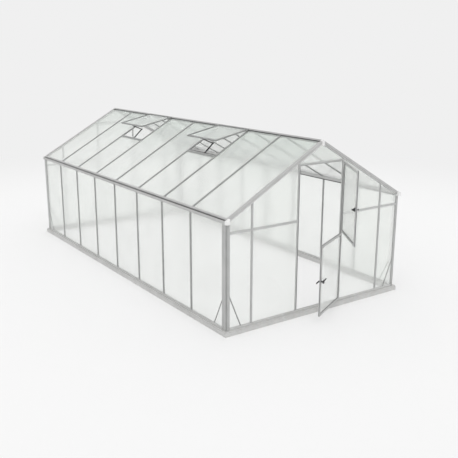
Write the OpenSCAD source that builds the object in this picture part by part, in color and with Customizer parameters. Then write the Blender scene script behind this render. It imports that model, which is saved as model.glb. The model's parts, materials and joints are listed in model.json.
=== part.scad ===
// Freestanding greenhouse with an aluminium frame, hollow polycarbonate sheets, two roof
// vents that stand open and a door of two leaves, one above the other.
// The outer face of the front gable is the plane y = 0 and faces -Y, the ground is z = 0,
// and the ridge runs along x = 0. Sizes are in millimetres.

/* [Building] */
// Width over the outer faces of the side walls
width = 3000; // [2600:20:4000]
// Number of glazing bays along each side
bays = 8; // [6:1:12]
// Width of sheet that shows between two bars of a side wall
bay_clear = 710.5; // [600:0.5:950]
// Height of the gutter's outer lip above the ground
eave_h = 1469; // [1400:1:1900]
// Slope of the roof in degrees
roof_pitch = 29.5; // [26:0.5:34]

/* [Base] */
// Height of the base rails
base_h = 67; // [40:1:150]
// How far the base stands out beyond the walls
base_proud = 30; // [10:1:60]
// Width of the base rails' underside
base_w = 80; // [60:1:110]
// Depth of the step along the top of the base's outer face
base_step = 5; // [2:1:8]
// Height of the sill above the base
sill_h = 26; // [20:1:50]
// How far the sill lies behind the wall's outer face
sill_in = 2; // [1:0.5:3]

/* [Bars] */
// Face width of the glazing bars
bar_w = 30; // [24:1:50]
// Depth of the glazing bars, through the wall
bar_depth = 24; // [22:1:34]
// How far the bars' inner lips reach over the sheets
bar_lip = 4; // [3:0.5:6]
// Thickness of the bars' inner lips
bar_lip_t = 2.5; // [2:0.5:4]
// Face width of the door jambs
jamb_w = 26; // [24:1:60]
// Height of the horizontal rails
rail_h = 28; // [24:1:50]
// Width of a corner post's flange along the side wall
post_side_w = 91; // [60:1:140]
// Width of a corner post's flange along the gable
post_gable_w = 54; // [47:1:80]
// Size of the square notch down each corner
notch = 16; // [8:1:17]

/* [Sheets] */
// Thickness of the hollow polycarbonate sheets
sheet_t = 10; // [6:1:16]
// How far the sheets lie behind the bars' outer faces
sheet_in = 4; // [4:0.5:8]
// Depth of the grooves that hold the sheets
groove = 9; // [6:1:11]
// Width of the gap between seated pieces
fit = 0.3; // [0.2:0.1:0.5]

/* [Eaves and ridge] */
// How far the gutter's lip stands out beyond the side wall
lip_out = 10; // [6:1:25]
// Thickness of the gutter's lip
lip_t = 3; // [2:1:5]
// Height of the gutter beam from its underside to the lip
gutter_h = 46; // [36:1:70]
// Depth of the eave beam, from the side wall's outer face inwards
beam_depth = 40; // [36:1:46]
// Width of the gutter's trough inside the wall's outer face
trough_in = 15; // [8:1:16]
// Height of the trough's floor above the beam's underside
trough_floor = 18; // [14:1:24]
// How far the eave beams stop short of the gables' outer faces
beam_short = 14; // [8:1:20]
// How far the gutter's end caps stand out beyond the gables
gutter_cap_out = 30; // [12:1:60]
// Half the width of the ridge beam
ridge_half = 22; // [20:1:45]
// Depth of the ridge beam, square to the roof
ridge_depth = 34; // [30:1:44]
// Thickness of the cover along the ridge
ridge_cover_t = 3; // [2:1:6]
// How far the ridge cover laps over the roof bars
ridge_cover_lap = 3; // [2:1:9]
// How far the ridge cover stops short of the gables' outer faces
cover_short = 30; // [10:1:60]
// How far the ridge's end caps stand out beyond the gables
ridge_cap_out = 9; // [8:1:30]
// Thickness of the plastic end caps
cap_t = 5; // [3:1:6]
// Thickness of the gutter caps' side walls
cap_wall = 3; // [2:0.5:4]

/* [Verge] */
// Depth of a gable rafter, square to the roof
rafter_depth = 44; // [42:1:80]
// Depth of a gable rafter, from the gable's outer face inwards
rafter_in = 45; // [34:1:70]
// Depth of the rafter's front moulding
moulding_depth = 30; // [24:1:36]
// How far the moulding stands out beyond the gable
moulding_out = 6; // [3:1:12]

/* [Gables] */
// Distance from the middle to the gable's outer bars
gable_bar_x = 1115; // [900:5:1180]
// Drop from the gutter's lip to the middle of the gable rails
rail_drop = 163; // [120:1:400]
// Height that a brace on the gable rises above the sill
gable_brace_rise = 421; // [200:1:600]
// Distance from the corner to the foot of a brace on the gable
gable_brace_run = 228; // [180:1:300]
// Height that a brace on the side wall rises above the sill
side_brace_rise = 368; // [200:1:600]
// Distance from the corner to the foot of a brace on the side wall
side_brace_run = 272; // [180:1:350]
// Width of the braces' flat strip
brace_w = 13; // [8:1:20]
// Thickness of the braces
brace_t = 2.5; // [2:0.5:3]

/* [Door] */
// Clear width between the door jambs
door_w = 740; // [600:5:900]
// Drop from the rafters' underside, at the jambs, to the top of the head rail
head_drop = 11.5; // [0:0.5:30]
// How far the leaves lap over the jambs on either side
leaf_lap = 2; // [0:1:8]
// How far the leaves stand off in front of the gable
leaf_off = 5; // [5:0.5:8]
// Gap between the sill and the lower leaf
leaf_lift = 10; // [5:1:14]
// Face width of the leaves' frame
leaf_bar = 30; // [28:1:50]
// Thickness of the leaves
leaf_t = 20; // [18:1:30]
// Height of the lower leaf
lower_leaf_h = 948; // [800:1:1000]
// Gap between the lower and the upper leaf
meeting_gap = 16; // [8:1:40]
// Opening angle of the lower leaf
lower_angle = 26.7; // [0:0.1:90]
// Opening angle of the upper leaf
upper_angle = 58; // [0:0.1:90]
// Gap between a leaf's edge and its hinge knuckles
knuckle_gap = 2; // [1.5:0.5:4]
// Radius of the hinge knuckles
knuckle_r = 7; // [6:0.5:7.5]
// Radius of the hinge pins
pin_r = 3.5; // [2.5:0.5:4]
// Radial clearance of the hinge pins
pin_play = 0.06; // [0.04:0.01:0.08]
// Height of one hinge knuckle
knuckle_h = 25; // [18:1:40]
// Width of a hinge plate
plate_w = 26; // [18:1:28]
// Thickness of a hinge plate
plate_t = 3; // [2:0.5:5]
// Distance from a leaf's end to the middle of its hinge
hinge_inset = 120; // [60:5:250]
// Height of the lower handle above the leaf's foot
handle_rise = 474; // [200:1:650]
// Length of the lever handle
lever_len = 120; // [80:5:180]
// Radius of the lever
lever_r = 8; // [6:0.5:11]
// How far the lever stands off the leaf
lever_off = 42; // [32:1:60]
// Height of the upper latch above the upper leaf's foot
latch_rise = 469; // [150:1:550]
// Height of the latch's inner pull
pull_h = 56; // [40:1:90]
// How far the inner pulls stand off the leaves
pull_off = 46; // [30:1:50]
// Width of the inner pulls
pull_w = 10; // [8:1:12]
// How far the lower leaf's inner pull hangs down
pull_drop = 34; // [20:1:60]

/* [Roof vents] */
// Bay that holds a vent, counted from either end
vent_bay = 3; // [2:1:3]
// Distance down the slope from the ridge line to the sill of a vent
vent_drop = 705; // [660:1:800]
// Width of a vent's sill, along the slope
vent_sill_w = 20; // [18:1:30]
// Length of a vent's sash, down the slope
sash_len = 600; // [480:5:640]
// Face width of the sash's frame
sash_bar = 24; // [20:1:40]
// Thickness of the sash's frame
sash_t = 18; // [18:1:30]
// Angle between the open sash and the roof
vent_angle = 17.5; // [10:0.5:40]
// How far a sash's edge reaches past the middle of the bar beside it
sash_lap = 11; // [4:1:14]
// Thickness of the vent stays
stay_t = 16; // [8:1:24]
// Height of a stay's elbow above the roof bars
elbow_rise = 41; // [20:1:60]
// Distance across the roof from a stay's foot to its elbow
stay_run = 152; // [80:2:220]
// Distance from the middle of the bay to the stay
stay_shift = 60; // [0:5:200]

/* [Hidden] */

metal = "darkgray";
pale_metal = "silver";
sheet_colour = "honeydew";
cap_colour = "whitesmoke";
black = "dimgray";

half_w = width / 2;
bar_pitch = bay_clear + bar_w;
length = 2 * post_side_w + bays * bay_clear + (bays - 1) * bar_w;
rise = tan(roof_pitch);
steep = 1 / cos(roof_pitch);
ridge_h = eave_h + half_w * rise;
sill_top = base_h + sill_h;
gutter_foot = eave_h - gutter_h;
rail_z = eave_h - rail_drop;
past = 1;

// Grooves are cut a gap wider than the sheet, and sheets stop a little short of their floor
slot_in = sheet_in - fit;
slot_w = sheet_t + 2 * fit;
bite = groove - 2 * fit;

// Where the roof's bars, sheets and rafters start and end, as distances from the middle
seat_x = half_w - beam_depth;
cheek_x = ridge_half;

// Cuts down either side of a bar, each from one depth to another and so far in: the groove,
// the edge of the inner lip and the side of the rib behind it
bar_cuts = [
    [slot_in, slot_in + slot_w, groove],
    [slot_in, slot_in + slot_w + bar_lip_t, groove - bar_lip],
    [slot_in + slot_w + bar_lip_t, bar_depth + past, groove]
];

// Vents
vent_bays = [vent_bay - 1, bays - vent_bay];
vent_sill_x = vent_drop / steep;
vent_hinge_x = ridge_half + ridge_cover_lap + fit;

// Door
jamb_x = door_w / 2 + jamb_w / 2;
head_top = roof_z(door_w / 2) - rafter_depth * steep - 2 * fit - head_drop;
head_foot = head_top - rail_h;
leaf_w = door_w + 2 * leaf_lap;
leaf_foot = sill_top + leaf_lift;
lower_top = leaf_foot + lower_leaf_h;
upper_foot = lower_top + meeting_gap;
upper_top = head_foot;
hinge_x = leaf_w / 2 + knuckle_gap + knuckle_r;
hinge_y = knuckle_r - leaf_off - leaf_t;
handle_x = -leaf_w / 2 + leaf_bar / 2;
leaf_sheet_in = (leaf_t - sheet_t) / 2;
leaf_groove = groove;

// Height of the roof plane, the bars' outer faces, at a distance from the middle
function roof_z(x) = ridge_h - abs(x) * rise;

// Start of the clear sheet in a side wall's bay
function bay_start(i) = post_side_w + i * bar_pitch;

// Middle of the bar between bay i and the next
function bar_y(i) = bay_start(i) + bay_clear + bar_w / 2;

// Ends of a roof bay, which reaches the rafters in the first and last bay
function roof_start(i) = i == 0 ? rafter_in : bay_start(i);
function roof_end(i) = i == bays - 1 ? length - rafter_in : bay_start(i) + bay_clear;
function bay_mid(i) = (roof_start(i) + roof_end(i)) / 2;
function is_vent(i) = len(search(i, vent_bays)) > 0;

// ---- Placing ----

module mirror_x() {
    children();
    mirror([1, 0, 0]) children();
}

module at_back() {
    translate([0, length, 0]) mirror([0, 1, 0]) children();
}

// Extrudes an outline drawn in the X-Z plane from y0 to y1
module along_y(y0, y1) {
    translate([0, y1, 0]) rotate([90, 0, 0]) linear_extrude(y1 - y0) children();
}

// Slab of the left slope between two distances from the middle and two depths below the
// roof plane, with upright ends
module roof_slab(far, near, top, bottom, y0, y1) {
    along_y(y0, y1) polygon([
        [-far, roof_z(far) - top * steep],
        [-near, roof_z(near) - top * steep],
        [-near, roof_z(near) - bottom * steep],
        [-far, roof_z(far) - bottom * steep]
    ]);
}

// Everything under the rafters, or as far into their groove as lift says
module under_rafters(lift, y0, y1) {
    drop = (rafter_depth - lift) * steep + fit;
    along_y(y0, y1) polygon([
        [-half_w, 0],
        [half_w, 0],
        [half_w, roof_z(half_w) - drop],
        [0, ridge_h - drop],
        [-half_w, roof_z(half_w) - drop]
    ]);
}

// ---- Base ----

module base_profile() {
    polygon([
        [-base_proud, 0],
        [base_w - base_proud, 0],
        [base_w - base_proud, base_h],
        [-base_proud + base_step, base_h],
        [-base_proud + base_step, base_h * 3 / 4],
        [-base_proud, base_h * 3 / 4]
    ]);
}

// Base rail along +X with its outer face towards -Y, mitred at both ends
module base_rail(span) {
    reach = span / 2 + base_proud;
    inner = base_w;
    intersection() {
        rotate([90, 0, 90]) translate([0, 0, -reach]) linear_extrude(2 * reach) base_profile();
        translate([0, 0, -past]) linear_extrude(base_h + 2 * past) polygon([
            [-reach + fit, -base_proud],
            [reach - fit, -base_proud],
            [reach - fit - inner, base_w - base_proud],
            [-reach + fit + inner, base_w - base_proud]
        ]);
    }
}

module base_front() {
    color(pale_metal) base_rail(width);
}

module base_back() {
    color(pale_metal) at_back() base_rail(width);
}

module base_left() {
    color(pale_metal) translate([-half_w, length / 2, 0]) rotate([0, 0, -90]) base_rail(length);
}

module base_right() {
    color(pale_metal) translate([half_w, length / 2, 0]) rotate([0, 0, 90]) base_rail(length);
}

// ---- Sills and posts ----

// Sill outline: across the wall in X, up in Y, with the sheets' groove in its top
module sill_profile() {
    difference() {
        translate([sill_in, fit]) square([bar_depth - sill_in, sill_h - fit]);
        translate([slot_in, sill_h - groove]) square([slot_w, groove + past]);
    }
}

module side_sills() {
    run = length - 2 * post_side_w - 2 * fit;
    color(metal) mirror_x() translate([-half_w, length / 2, base_h])
        rotate([90, 0, 0]) translate([0, 0, -run / 2]) linear_extrude(run) sill_profile();
}

module end_sill() {
    run = width - 2 * post_gable_w - 2 * fit;
    translate([0, 0, base_h]) rotate([90, 0, 90]) translate([0, 0, -run / 2])
        linear_extrude(run) sill_profile();
}

module end_sills() {
    color(metal) {
        end_sill();
        at_back() end_sill();
    }
}

// Corner post in plan: two flanges that leave a notch open down the corner
module post_profile() {
    difference() {
        union() {
            square([bar_depth, post_side_w]);
            square([post_gable_w, bar_depth]);
        }
        translate([-past, -past]) square([notch + past, notch + past]);
        translate([post_gable_w - groove, slot_in]) square([groove + past, slot_w]);
        translate([slot_in, post_side_w - groove]) square([slot_w, groove + past]);
    }
}

module corner_posts() {
    color(metal) mirror_x() translate([-half_w, 0, base_h + fit])
        linear_extrude(gutter_foot - base_h - 2 * fit) post_profile();
}

module corner_posts_front() {
    corner_posts();
}

module corner_posts_back() {
    at_back() corner_posts();
}

// ---- Side walls ----

// Glazing bar outline: depth in X, face width in Y, with a groove, an inner lip and a
// narrower rib behind it on each of the named sides
module bar_profile(w, sides) {
    difference() {
        translate([0, -w / 2]) square([bar_depth, w]);
        for (side = sides, cut = bar_cuts)
            translate([cut[0], side * (w - cut[2] + past) / 2 - (cut[2] + past) / 2])
                square([cut[1] - cut[0], cut[2] + past]);
    }
}

module wall_bars_left() {
    color(metal) for (i = [0 : bays - 2])
        translate([-half_w, bar_y(i), sill_top + fit])
            linear_extrude(gutter_foot - sill_top - 2 * fit) bar_profile(bar_w, [-1, 1]);
}

module wall_bars_right() {
    mirror([1, 0, 0]) wall_bars_left();
}

module wall_sheets_left() {
    foot = sill_top - bite;
    color(sheet_colour) for (i = [0 : bays - 1])
        translate([-half_w + sheet_in, bay_start(i) - bite, foot])
            cube([sheet_t, bay_clear + 2 * bite, gutter_foot + bite - foot]);
}

module wall_sheets_right() {
    mirror([1, 0, 0]) wall_sheets_left();
}

// ---- Eaves ----

// Eave beam and gutter in one outline, in the X-Z plane at the left wall
module gutter_profile() {
    difference() {
        translate([-half_w, 0]) polygon([
            [0, gutter_foot],
            [beam_depth, gutter_foot],
            [beam_depth, eave_h + beam_depth * rise],
            [trough_in, eave_h + trough_in * rise],
            [trough_in, gutter_foot + trough_floor],
            [lip_t - lip_out, gutter_foot + trough_floor],
            [lip_t - lip_out, eave_h],
            [-lip_out, eave_h],
            [-lip_out, gutter_foot + trough_floor - lip_t],
            [0, gutter_foot + trough_floor - lip_t]
        ]);
        translate([-half_w + slot_in, gutter_foot - past]) square([slot_w, groove + past]);
        polygon([
            [-seat_x - groove, roof_z(seat_x + groove) - slot_in * steep],
            [-seat_x + past, roof_z(seat_x - past) - slot_in * steep],
            [-seat_x + past, roof_z(seat_x - past) - (slot_in + slot_w) * steep],
            [-seat_x - groove, roof_z(seat_x + groove) - (slot_in + slot_w) * steep]
        ]);
    }
}

module gutter_left() {
    color(pale_metal) along_y(beam_short, length - beam_short) gutter_profile();
}

module gutter_right() {
    mirror([1, 0, 0]) gutter_left();
}

// Outline of the caps that close the gutter beams, a little beyond the gutter's lip
module gutter_cap_outline() {
    translate([-half_w, 0]) polygon([
        [-lip_out - lip_t, gutter_foot],
        [beam_depth, gutter_foot],
        [beam_depth, eave_h + beam_depth * rise],
        [trough_in, eave_h + trough_in * rise],
        [0, eave_h + lip_t],
        [-lip_out - lip_t, eave_h + lip_t]
    ]);
}

// White end cap of a gutter beam: a closed front and side walls that run back to the beam
module gutter_cap() {
    difference() {
        along_y(-gutter_cap_out, beam_short - fit) gutter_cap_outline();
        along_y(cap_t - gutter_cap_out, beam_short + past)
            offset(delta = -cap_wall) gutter_cap_outline();
    }
}

module gutter_caps() {
    color(cap_colour) mirror_x() {
        gutter_cap();
        at_back() gutter_cap();
    }
}

// ---- Ridge ----

// Outline of the ridge beam without its grooves
module ridge_outline() {
    drop = ridge_depth * steep;
    polygon([
        [0, ridge_h],
        [ridge_half, roof_z(ridge_half)],
        [ridge_half, roof_z(ridge_half) - drop],
        [0, ridge_h - drop],
        [-ridge_half, roof_z(ridge_half) - drop],
        [-ridge_half, roof_z(ridge_half)]
    ]);
}

module ridge_slot() {
    polygon([
        [-cheek_x - past, roof_z(cheek_x + past) - slot_in * steep],
        [-cheek_x + groove, roof_z(cheek_x - groove) - slot_in * steep],
        [-cheek_x + groove, roof_z(cheek_x - groove) - (slot_in + slot_w) * steep],
        [-cheek_x - past, roof_z(cheek_x + past) - (slot_in + slot_w) * steep]
    ]);
}

module ridge_beam() {
    out = ridge_cap_out - cap_t - fit;
    color(metal) along_y(-out, length + out) difference() {
        ridge_outline();
        ridge_slot();
        mirror([1, 0]) ridge_slot();
    }
}

// Bent strip that lies over the ridge beam, reaching as far as edge on either side
module ridge_strip(edge) {
    low = fit * steep;
    high = (fit + ridge_cover_t) * steep;
    polygon([
        [0, ridge_h + low],
        [edge, roof_z(edge) + low],
        [edge, roof_z(edge) + high],
        [0, ridge_h + high],
        [-edge, roof_z(edge) + high],
        [-edge, roof_z(edge) + low]
    ]);
}

module ridge_cover() {
    color(pale_metal) along_y(cover_short, length - cover_short)
        ridge_strip(ridge_half + ridge_cover_lap);
}

// White end cap of the ridge: a front plate and a saddle that runs back to the cover
module ridge_cap() {
    along_y(-ridge_cap_out, cap_t - ridge_cap_out) ridge_cap_outline();
    along_y(-ridge_cap_out, cover_short - fit) ridge_strip(ridge_half + ridge_cover_lap);
}

// The plate is a little deeper than the beam and reaches up into the saddle
module ridge_cap_outline() {
    drop = (rafter_depth + cap_t) * steep;
    lift = (fit + ridge_cover_t / 2) * steep;
    polygon([
        [0, ridge_h + lift],
        [ridge_half, roof_z(ridge_half) + lift],
        [ridge_half, roof_z(ridge_half) - drop],
        [-ridge_half, roof_z(ridge_half) - drop],
        [-ridge_half, roof_z(ridge_half) + lift]
    ]);
}

module ridge_caps() {
    color(cap_colour) {
        ridge_cap();
        at_back() ridge_cap();
    }
}

// ---- Rafters and roof ----

// Gable rafter: a proud moulding over a recessed lower edge, with one groove for the roof
// sheet and one underneath for the gable sheets
module rafter() {
    far = seat_x - fit;
    near = cheek_x + fit;
    difference() {
        union() {
            roof_slab(far, near, 0, rafter_depth, sill_in, rafter_in);
            roof_slab(far, near, 0, moulding_depth, -moulding_out, rafter_in);
        }
        roof_slab(far + past, near - past, slot_in, slot_in + slot_w,
            rafter_in - groove, rafter_in + past);
        roof_slab(far + past, near - past, rafter_depth - groove, rafter_depth + past,
            slot_in, slot_in + slot_w);
    }
}

module rafters_front() {
    color(pale_metal) mirror_x() rafter();
}

module rafters_back() {
    color(pale_metal) at_back() mirror_x() rafter();
}

// Roof bar of the same section as the wall bars, its middle at y
module roof_bar(y) {
    far = seat_x - fit;
    near = cheek_x + fit;
    difference() {
        roof_slab(far, near, 0, bar_depth, y - bar_w / 2, y + bar_w / 2);
        for (cut = bar_cuts, y0 = [y - bar_w / 2 - past, y + bar_w / 2 - cut[2]])
            roof_slab(far + past, near - past, cut[0], cut[1], y0, y0 + cut[2] + past);
    }
}

module roof_bars_left() {
    color(metal) for (i = [0 : bays - 2]) roof_bar(bar_y(i));
}

module roof_bars_right() {
    mirror([1, 0, 0]) roof_bars_left();
}

// Roof sheet of one bay, up to the ridge or to the cross bar under a vent
module roof_sheet(i, near) {
    roof_slab(seat_x + bite, near - bite, sheet_in, sheet_in + sheet_t,
        roof_start(i) - bite, roof_end(i) + bite);
}

module roof_sheets_left() {
    color(sheet_colour) for (i = [0 : bays - 1])
        roof_sheet(i, is_vent(i) ? vent_sill_x + vent_sill_w / 2 : cheek_x);
}

module roof_sheets_right() {
    color(sheet_colour) mirror([1, 0, 0]) for (i = [0 : bays - 1]) roof_sheet(i, cheek_x);
}

// ---- Gables ----

module gable_post(x, w, sides) {
    intersection() {
        translate([x, 0, sill_top + fit]) rotate([0, 0, 90])
            linear_extrude(ridge_h - sill_top) bar_profile(w, sides);
        under_rafters(0, -past, bar_depth + past);
    }
}

module gable_bars_front() {
    color(metal) mirror_x() gable_post(-gable_bar_x, bar_w, [-1, 1]);
}

module gable_bars_back() {
    color(metal) at_back() mirror_x() {
        gable_post(-gable_bar_x, bar_w, [-1, 1]);
        gable_post(-jamb_x, jamb_w, [-1, 1]);
    }
}

// Door jambs, plain towards the doorway and grooved there only above the head rail
module door_jambs() {
    color(metal) mirror_x() difference() {
        gable_post(-jamb_x, jamb_w, [1]);
        translate([-door_w / 2 - groove, slot_in, head_top - groove])
            cube([groove + past, slot_w, ridge_h - head_top + groove]);
    }
}

// Horizontal rail of a gable between two uprights, grooved above and below
module gable_rail(x0, x1, z0, slots) {
    difference() {
        translate([x0 + fit, 0, z0]) cube([x1 - x0 - 2 * fit, bar_depth, rail_h]);
        for (z = slots)
            translate([x0, slot_in, z]) cube([x1 - x0, slot_w, groove + past]);
    }
}

module side_rails() {
    foot = rail_z - rail_h / 2;
    both = [foot - past, foot + rail_h - groove];
    mirror_x() {
        gable_rail(-half_w + post_gable_w, -gable_bar_x - bar_w / 2, foot, both);
        gable_rail(-gable_bar_x + bar_w / 2, -jamb_x - jamb_w / 2, foot, both);
    }
}

module gable_rails_front() {
    color(metal) {
        side_rails();
        gable_rail(-door_w / 2, door_w / 2, head_foot, [head_top - groove]);
    }
}

module gable_rails_back() {
    color(metal) at_back() {
        side_rails();
        gable_rail(-door_w / 2, door_w / 2, head_foot, [head_foot - past, head_top - groove]);
    }
}

// Gable sheet between two uprights, from z0 up to z1 or to the rafters' groove
module gable_sheet(x0, x1, z0, z1) {
    intersection() {
        translate([x0 - bite, sheet_in, z0 - bite])
            cube([x1 - x0 + 2 * bite, sheet_t, z1 - z0 + 2 * bite]);
        under_rafters(bite, 0, bar_depth);
    }
}

module side_gable_sheets() {
    rail_foot = rail_z - rail_h / 2;
    rail_top = rail_z + rail_h / 2;
    outer = -half_w + post_gable_w;
    mirror_x() {
        gable_sheet(outer, -gable_bar_x - bar_w / 2, sill_top, rail_foot);
        difference() {
            gable_sheet(outer, -gable_bar_x - bar_w / 2, rail_top, ridge_h);
            translate([-half_w, 0, gutter_foot - 2 * fit])
                cube([beam_depth + 2 * fit, bar_depth, gutter_h + half_w]);
        }
        gable_sheet(-gable_bar_x + bar_w / 2, -jamb_x - jamb_w / 2, sill_top, rail_foot);
        gable_sheet(-gable_bar_x + bar_w / 2, -jamb_x - jamb_w / 2, rail_top, ridge_h);
    }
    difference() {
        gable_sheet(-door_w / 2, door_w / 2, head_top, ridge_h);
        under_ridge();
    }
}

// Room for the ridge beam in the gable sheet below it
module under_ridge() {
    reach = cheek_x + 2 * fit;
    low = ridge_depth * steep + 2 * fit;
    along_y(0, bar_depth) polygon([
        [-reach, ridge_h],
        [-reach, roof_z(reach) - low],
        [0, ridge_h - low],
        [reach, roof_z(reach) - low],
        [reach, ridge_h]
    ]);
}

module gable_sheets_front() {
    color(sheet_colour) side_gable_sheets();
}

module gable_sheets_back() {
    color(sheet_colour) at_back() {
        side_gable_sheets();
        gable_sheet(-door_w / 2, door_w / 2, sill_top, head_foot);
    }
}

// ---- Corner braces ----

// Flat strip across a corner, in the X-Z plane, from the post's edge down to the sill
module brace_outline(start, run, height) {
    top = sill_top + height;
    foot = sill_top + fit;
    slope = (top - foot) / (run - start);
    slant = brace_w * sqrt(1 + pow(slope, 2));
    polygon([
        [start, top],
        [start, top - slant],
        [run - slant / slope, foot],
        [run, foot]
    ]);
}

// Braces that lie flat on the outer faces of the corner sheets, inside the bars' faces
module corner_braces() {
    face = sheet_in - fit - brace_t;
    color(metal) mirror_x() for (end = [0, 1])
        translate([0, end * length, 0]) mirror([0, end, 0]) {
            translate([-half_w, 0, 0]) along_y(face, face + brace_t)
                brace_outline(post_gable_w + fit, gable_brace_run, gable_brace_rise);
            translate([-half_w + face, 0, 0]) rotate([90, 0, 90]) linear_extrude(brace_t)
                brace_outline(post_side_w + fit, side_brace_run, side_brace_rise);
        }
}

// ---- Roof vents ----

// Children are placed with the origin on a vent's hinge line at the middle of its bay,
// -X down the slope and +Z out of the roof, turned open
module at_vent(i) {
    translate([-vent_hinge_x, bay_mid(i), roof_z(vent_hinge_x) + fit])
        rotate([0, vent_angle - roof_pitch, 0]) children();
}

// Sill of each vent, grooved for the upper edge of the roof sheet below it
module vent_sills() {
    far = vent_sill_x + vent_sill_w / 2;
    color(metal) for (i = vent_bays) difference() {
        roof_slab(far, far - vent_sill_w, 0, bar_depth, roof_start(i) + fit, roof_end(i) - fit);
        roof_slab(far + past, far - groove, slot_in, slot_in + slot_w, roof_start(i), roof_end(i));
    }
}

sash_w = bar_pitch + 2 * sash_lap;
sash_sheet_in = (sash_t - sheet_t) / 2;
sash_groove = groove * 3 / 4;

// One length of sash frame along +X, its groove in the side towards +Y
module sash_length(run) {
    difference() {
        cube([run, sash_bar, sash_t]);
        translate([-past, sash_bar - sash_groove, sash_sheet_in - fit])
            cube([run + 2 * past, sash_groove + past, slot_w]);
    }
}

module sash() {
    cross = sash_w - 2 * sash_bar - 2 * fit;
    for (side = [0, 1]) mirror([0, side, 0])
        translate([-sash_len, -sash_w / 2, 0]) sash_length(sash_len);
    translate([0, -cross / 2, 0]) rotate([0, 0, 90]) sash_length(cross);
    translate([-sash_len, cross / 2, 0]) rotate([0, 0, -90]) sash_length(cross);
}

module vent_sashes() {
    color(metal) for (i = vent_bays) at_vent(i) sash();
}

module vent_sheets() {
    inset = sash_bar - sash_groove + fit;
    color(sheet_colour) for (i = vent_bays) at_vent(i)
        translate([inset - sash_len, inset - sash_w / 2, sash_sheet_in])
            cube([sash_len - 2 * inset, sash_w - 2 * inset, sheet_t]);
}

// Arm of a stay between two points of the X-Z plane
module stay_arm(a, b) {
    run = norm(b - a);
    tilt = atan2(b[1] - a[1], b[0] - a[0]);
    translate([a[0], 0, a[1]]) rotate([0, -tilt, 0])
        translate([0, -stay_t / 2, -stay_t / 2]) cube([run, stay_t, stay_t]);
}

// Jointed stay: foot on the vent's sill, elbow above the roof, head under the sash's edge
module vent_stays() {
    foot_x = -vent_sill_x + vent_sill_w / 2 + fit + stay_t / 2;
    elbow_x = foot_x + stay_run;
    foot = [foot_x, roof_z(foot_x) - bar_depth / 2];
    elbow = [elbow_x, roof_z(elbow_x) + elbow_rise];
    arm = sash_len - sash_bar / 2;
    drop = fit + stay_t / 2;
    fall = roof_pitch - vent_angle;
    block = [stay_t, stay_t * 5 / 4, stay_t];
    head = [
        -vent_hinge_x - arm * cos(fall) + drop * sin(fall),
        roof_z(vent_hinge_x) + fit - arm * sin(fall) - drop * cos(fall)
    ];
    color(black) for (i = vent_bays) translate([0, bay_mid(i) - stay_shift, 0]) {
        stay_arm(foot, elbow);
        stay_arm(elbow, head);
        translate([foot[0], 0, foot[1]]) cube(block, center = true);
        translate([head[0], 0, head[1]]) rotate([0, -fall, 0]) cube(block, center = true);
        translate([elbow[0], 0, elbow[1]]) rotate([90, 0, 0])
            cylinder(h = block[1], r = stay_t * 3 / 4, center = true, $fn = 32);
    }
}

// ---- Door ----

// Turns a leaf open about the hinge axis. Children are drawn closed, with the leaf's outer
// face in the plane y = 0
module leaf_turn(angle) {
    translate([hinge_x, hinge_y, 0]) rotate([0, 0, angle]) translate([-hinge_x, -knuckle_r, 0])
        children();
}

// Leaf frame of two uprights and two rails, each grooved for the sheet
module leaf_frame(z0, z1) {
    mirror_x() difference() {
        translate([-leaf_w / 2, 0, z0]) cube([leaf_bar, leaf_t, z1 - z0]);
        translate([-leaf_w / 2 + leaf_bar - leaf_groove, leaf_sheet_in - fit, z0 - past])
            cube([leaf_groove + past, slot_w, z1 - z0 + 2 * past]);
    }
    run = leaf_w - 2 * leaf_bar - 2 * fit;
    for (z = [z0, z1 - leaf_bar]) difference() {
        translate([-run / 2, 0, z]) cube([run, leaf_t, leaf_bar]);
        translate([-run / 2 - past, leaf_sheet_in - fit,
            z == z0 ? z0 + leaf_bar - leaf_groove : z - past])
            cube([run + 2 * past, slot_w, leaf_groove + past]);
    }
}

module leaf_sheet(z0, z1) {
    inset = leaf_bar - leaf_groove + 2 * fit;
    translate([-leaf_w / 2 + inset, leaf_sheet_in, z0 + inset])
        cube([leaf_w - 2 * inset, sheet_t, z1 - z0 - 2 * inset]);
}

// Heights of the two hinges of a leaf
function hinge_heights(z0, z1) = [z0 + hinge_inset, z1 - hinge_inset];

// Half of a hinge that is screwed to the leaf's outer face, bored for the pin
module leaf_hinge(z) {
    wrap = knuckle_gap + knuckle_r - fit;
    difference() {
        translate([hinge_x, 0, z]) {
            translate([0, knuckle_r, 0]) cylinder(h = knuckle_h, r = knuckle_r, $fn = 48);
            translate([-plate_w, -fit - plate_t, 0]) cube([plate_w, plate_t, knuckle_h]);
            translate([-wrap, -fit - plate_t, 0]) cube([wrap, plate_t + fit + knuckle_r, knuckle_h]);
        }
        translate([hinge_x, knuckle_r, z - past])
            cylinder(h = knuckle_h + 2 * past, r = pin_r + pin_play, $fn = 48);
    }
}

// Half of a hinge that is screwed to the jamb and carries the pin
module jamb_hinge(z) {
    translate([hinge_x, hinge_y, z - knuckle_h - fit]) {
        cylinder(h = knuckle_h, r = knuckle_r, $fn = 48);
        cylinder(h = 2 * knuckle_h - past, r = pin_r, $fn = 48);
        translate([0, -hinge_y - fit - plate_t, 0])
            cube([jamb_x + jamb_w / 2 - hinge_x, plate_t, knuckle_h]);
        cube([knuckle_r, -hinge_y - fit, knuckle_h]);
    }
}

module jamb_hinges() {
    color(metal) {
        for (z = hinge_heights(leaf_foot, lower_top)) jamb_hinge(z);
        for (z = hinge_heights(upper_foot, upper_top)) jamb_hinge(z);
    }
}

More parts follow.
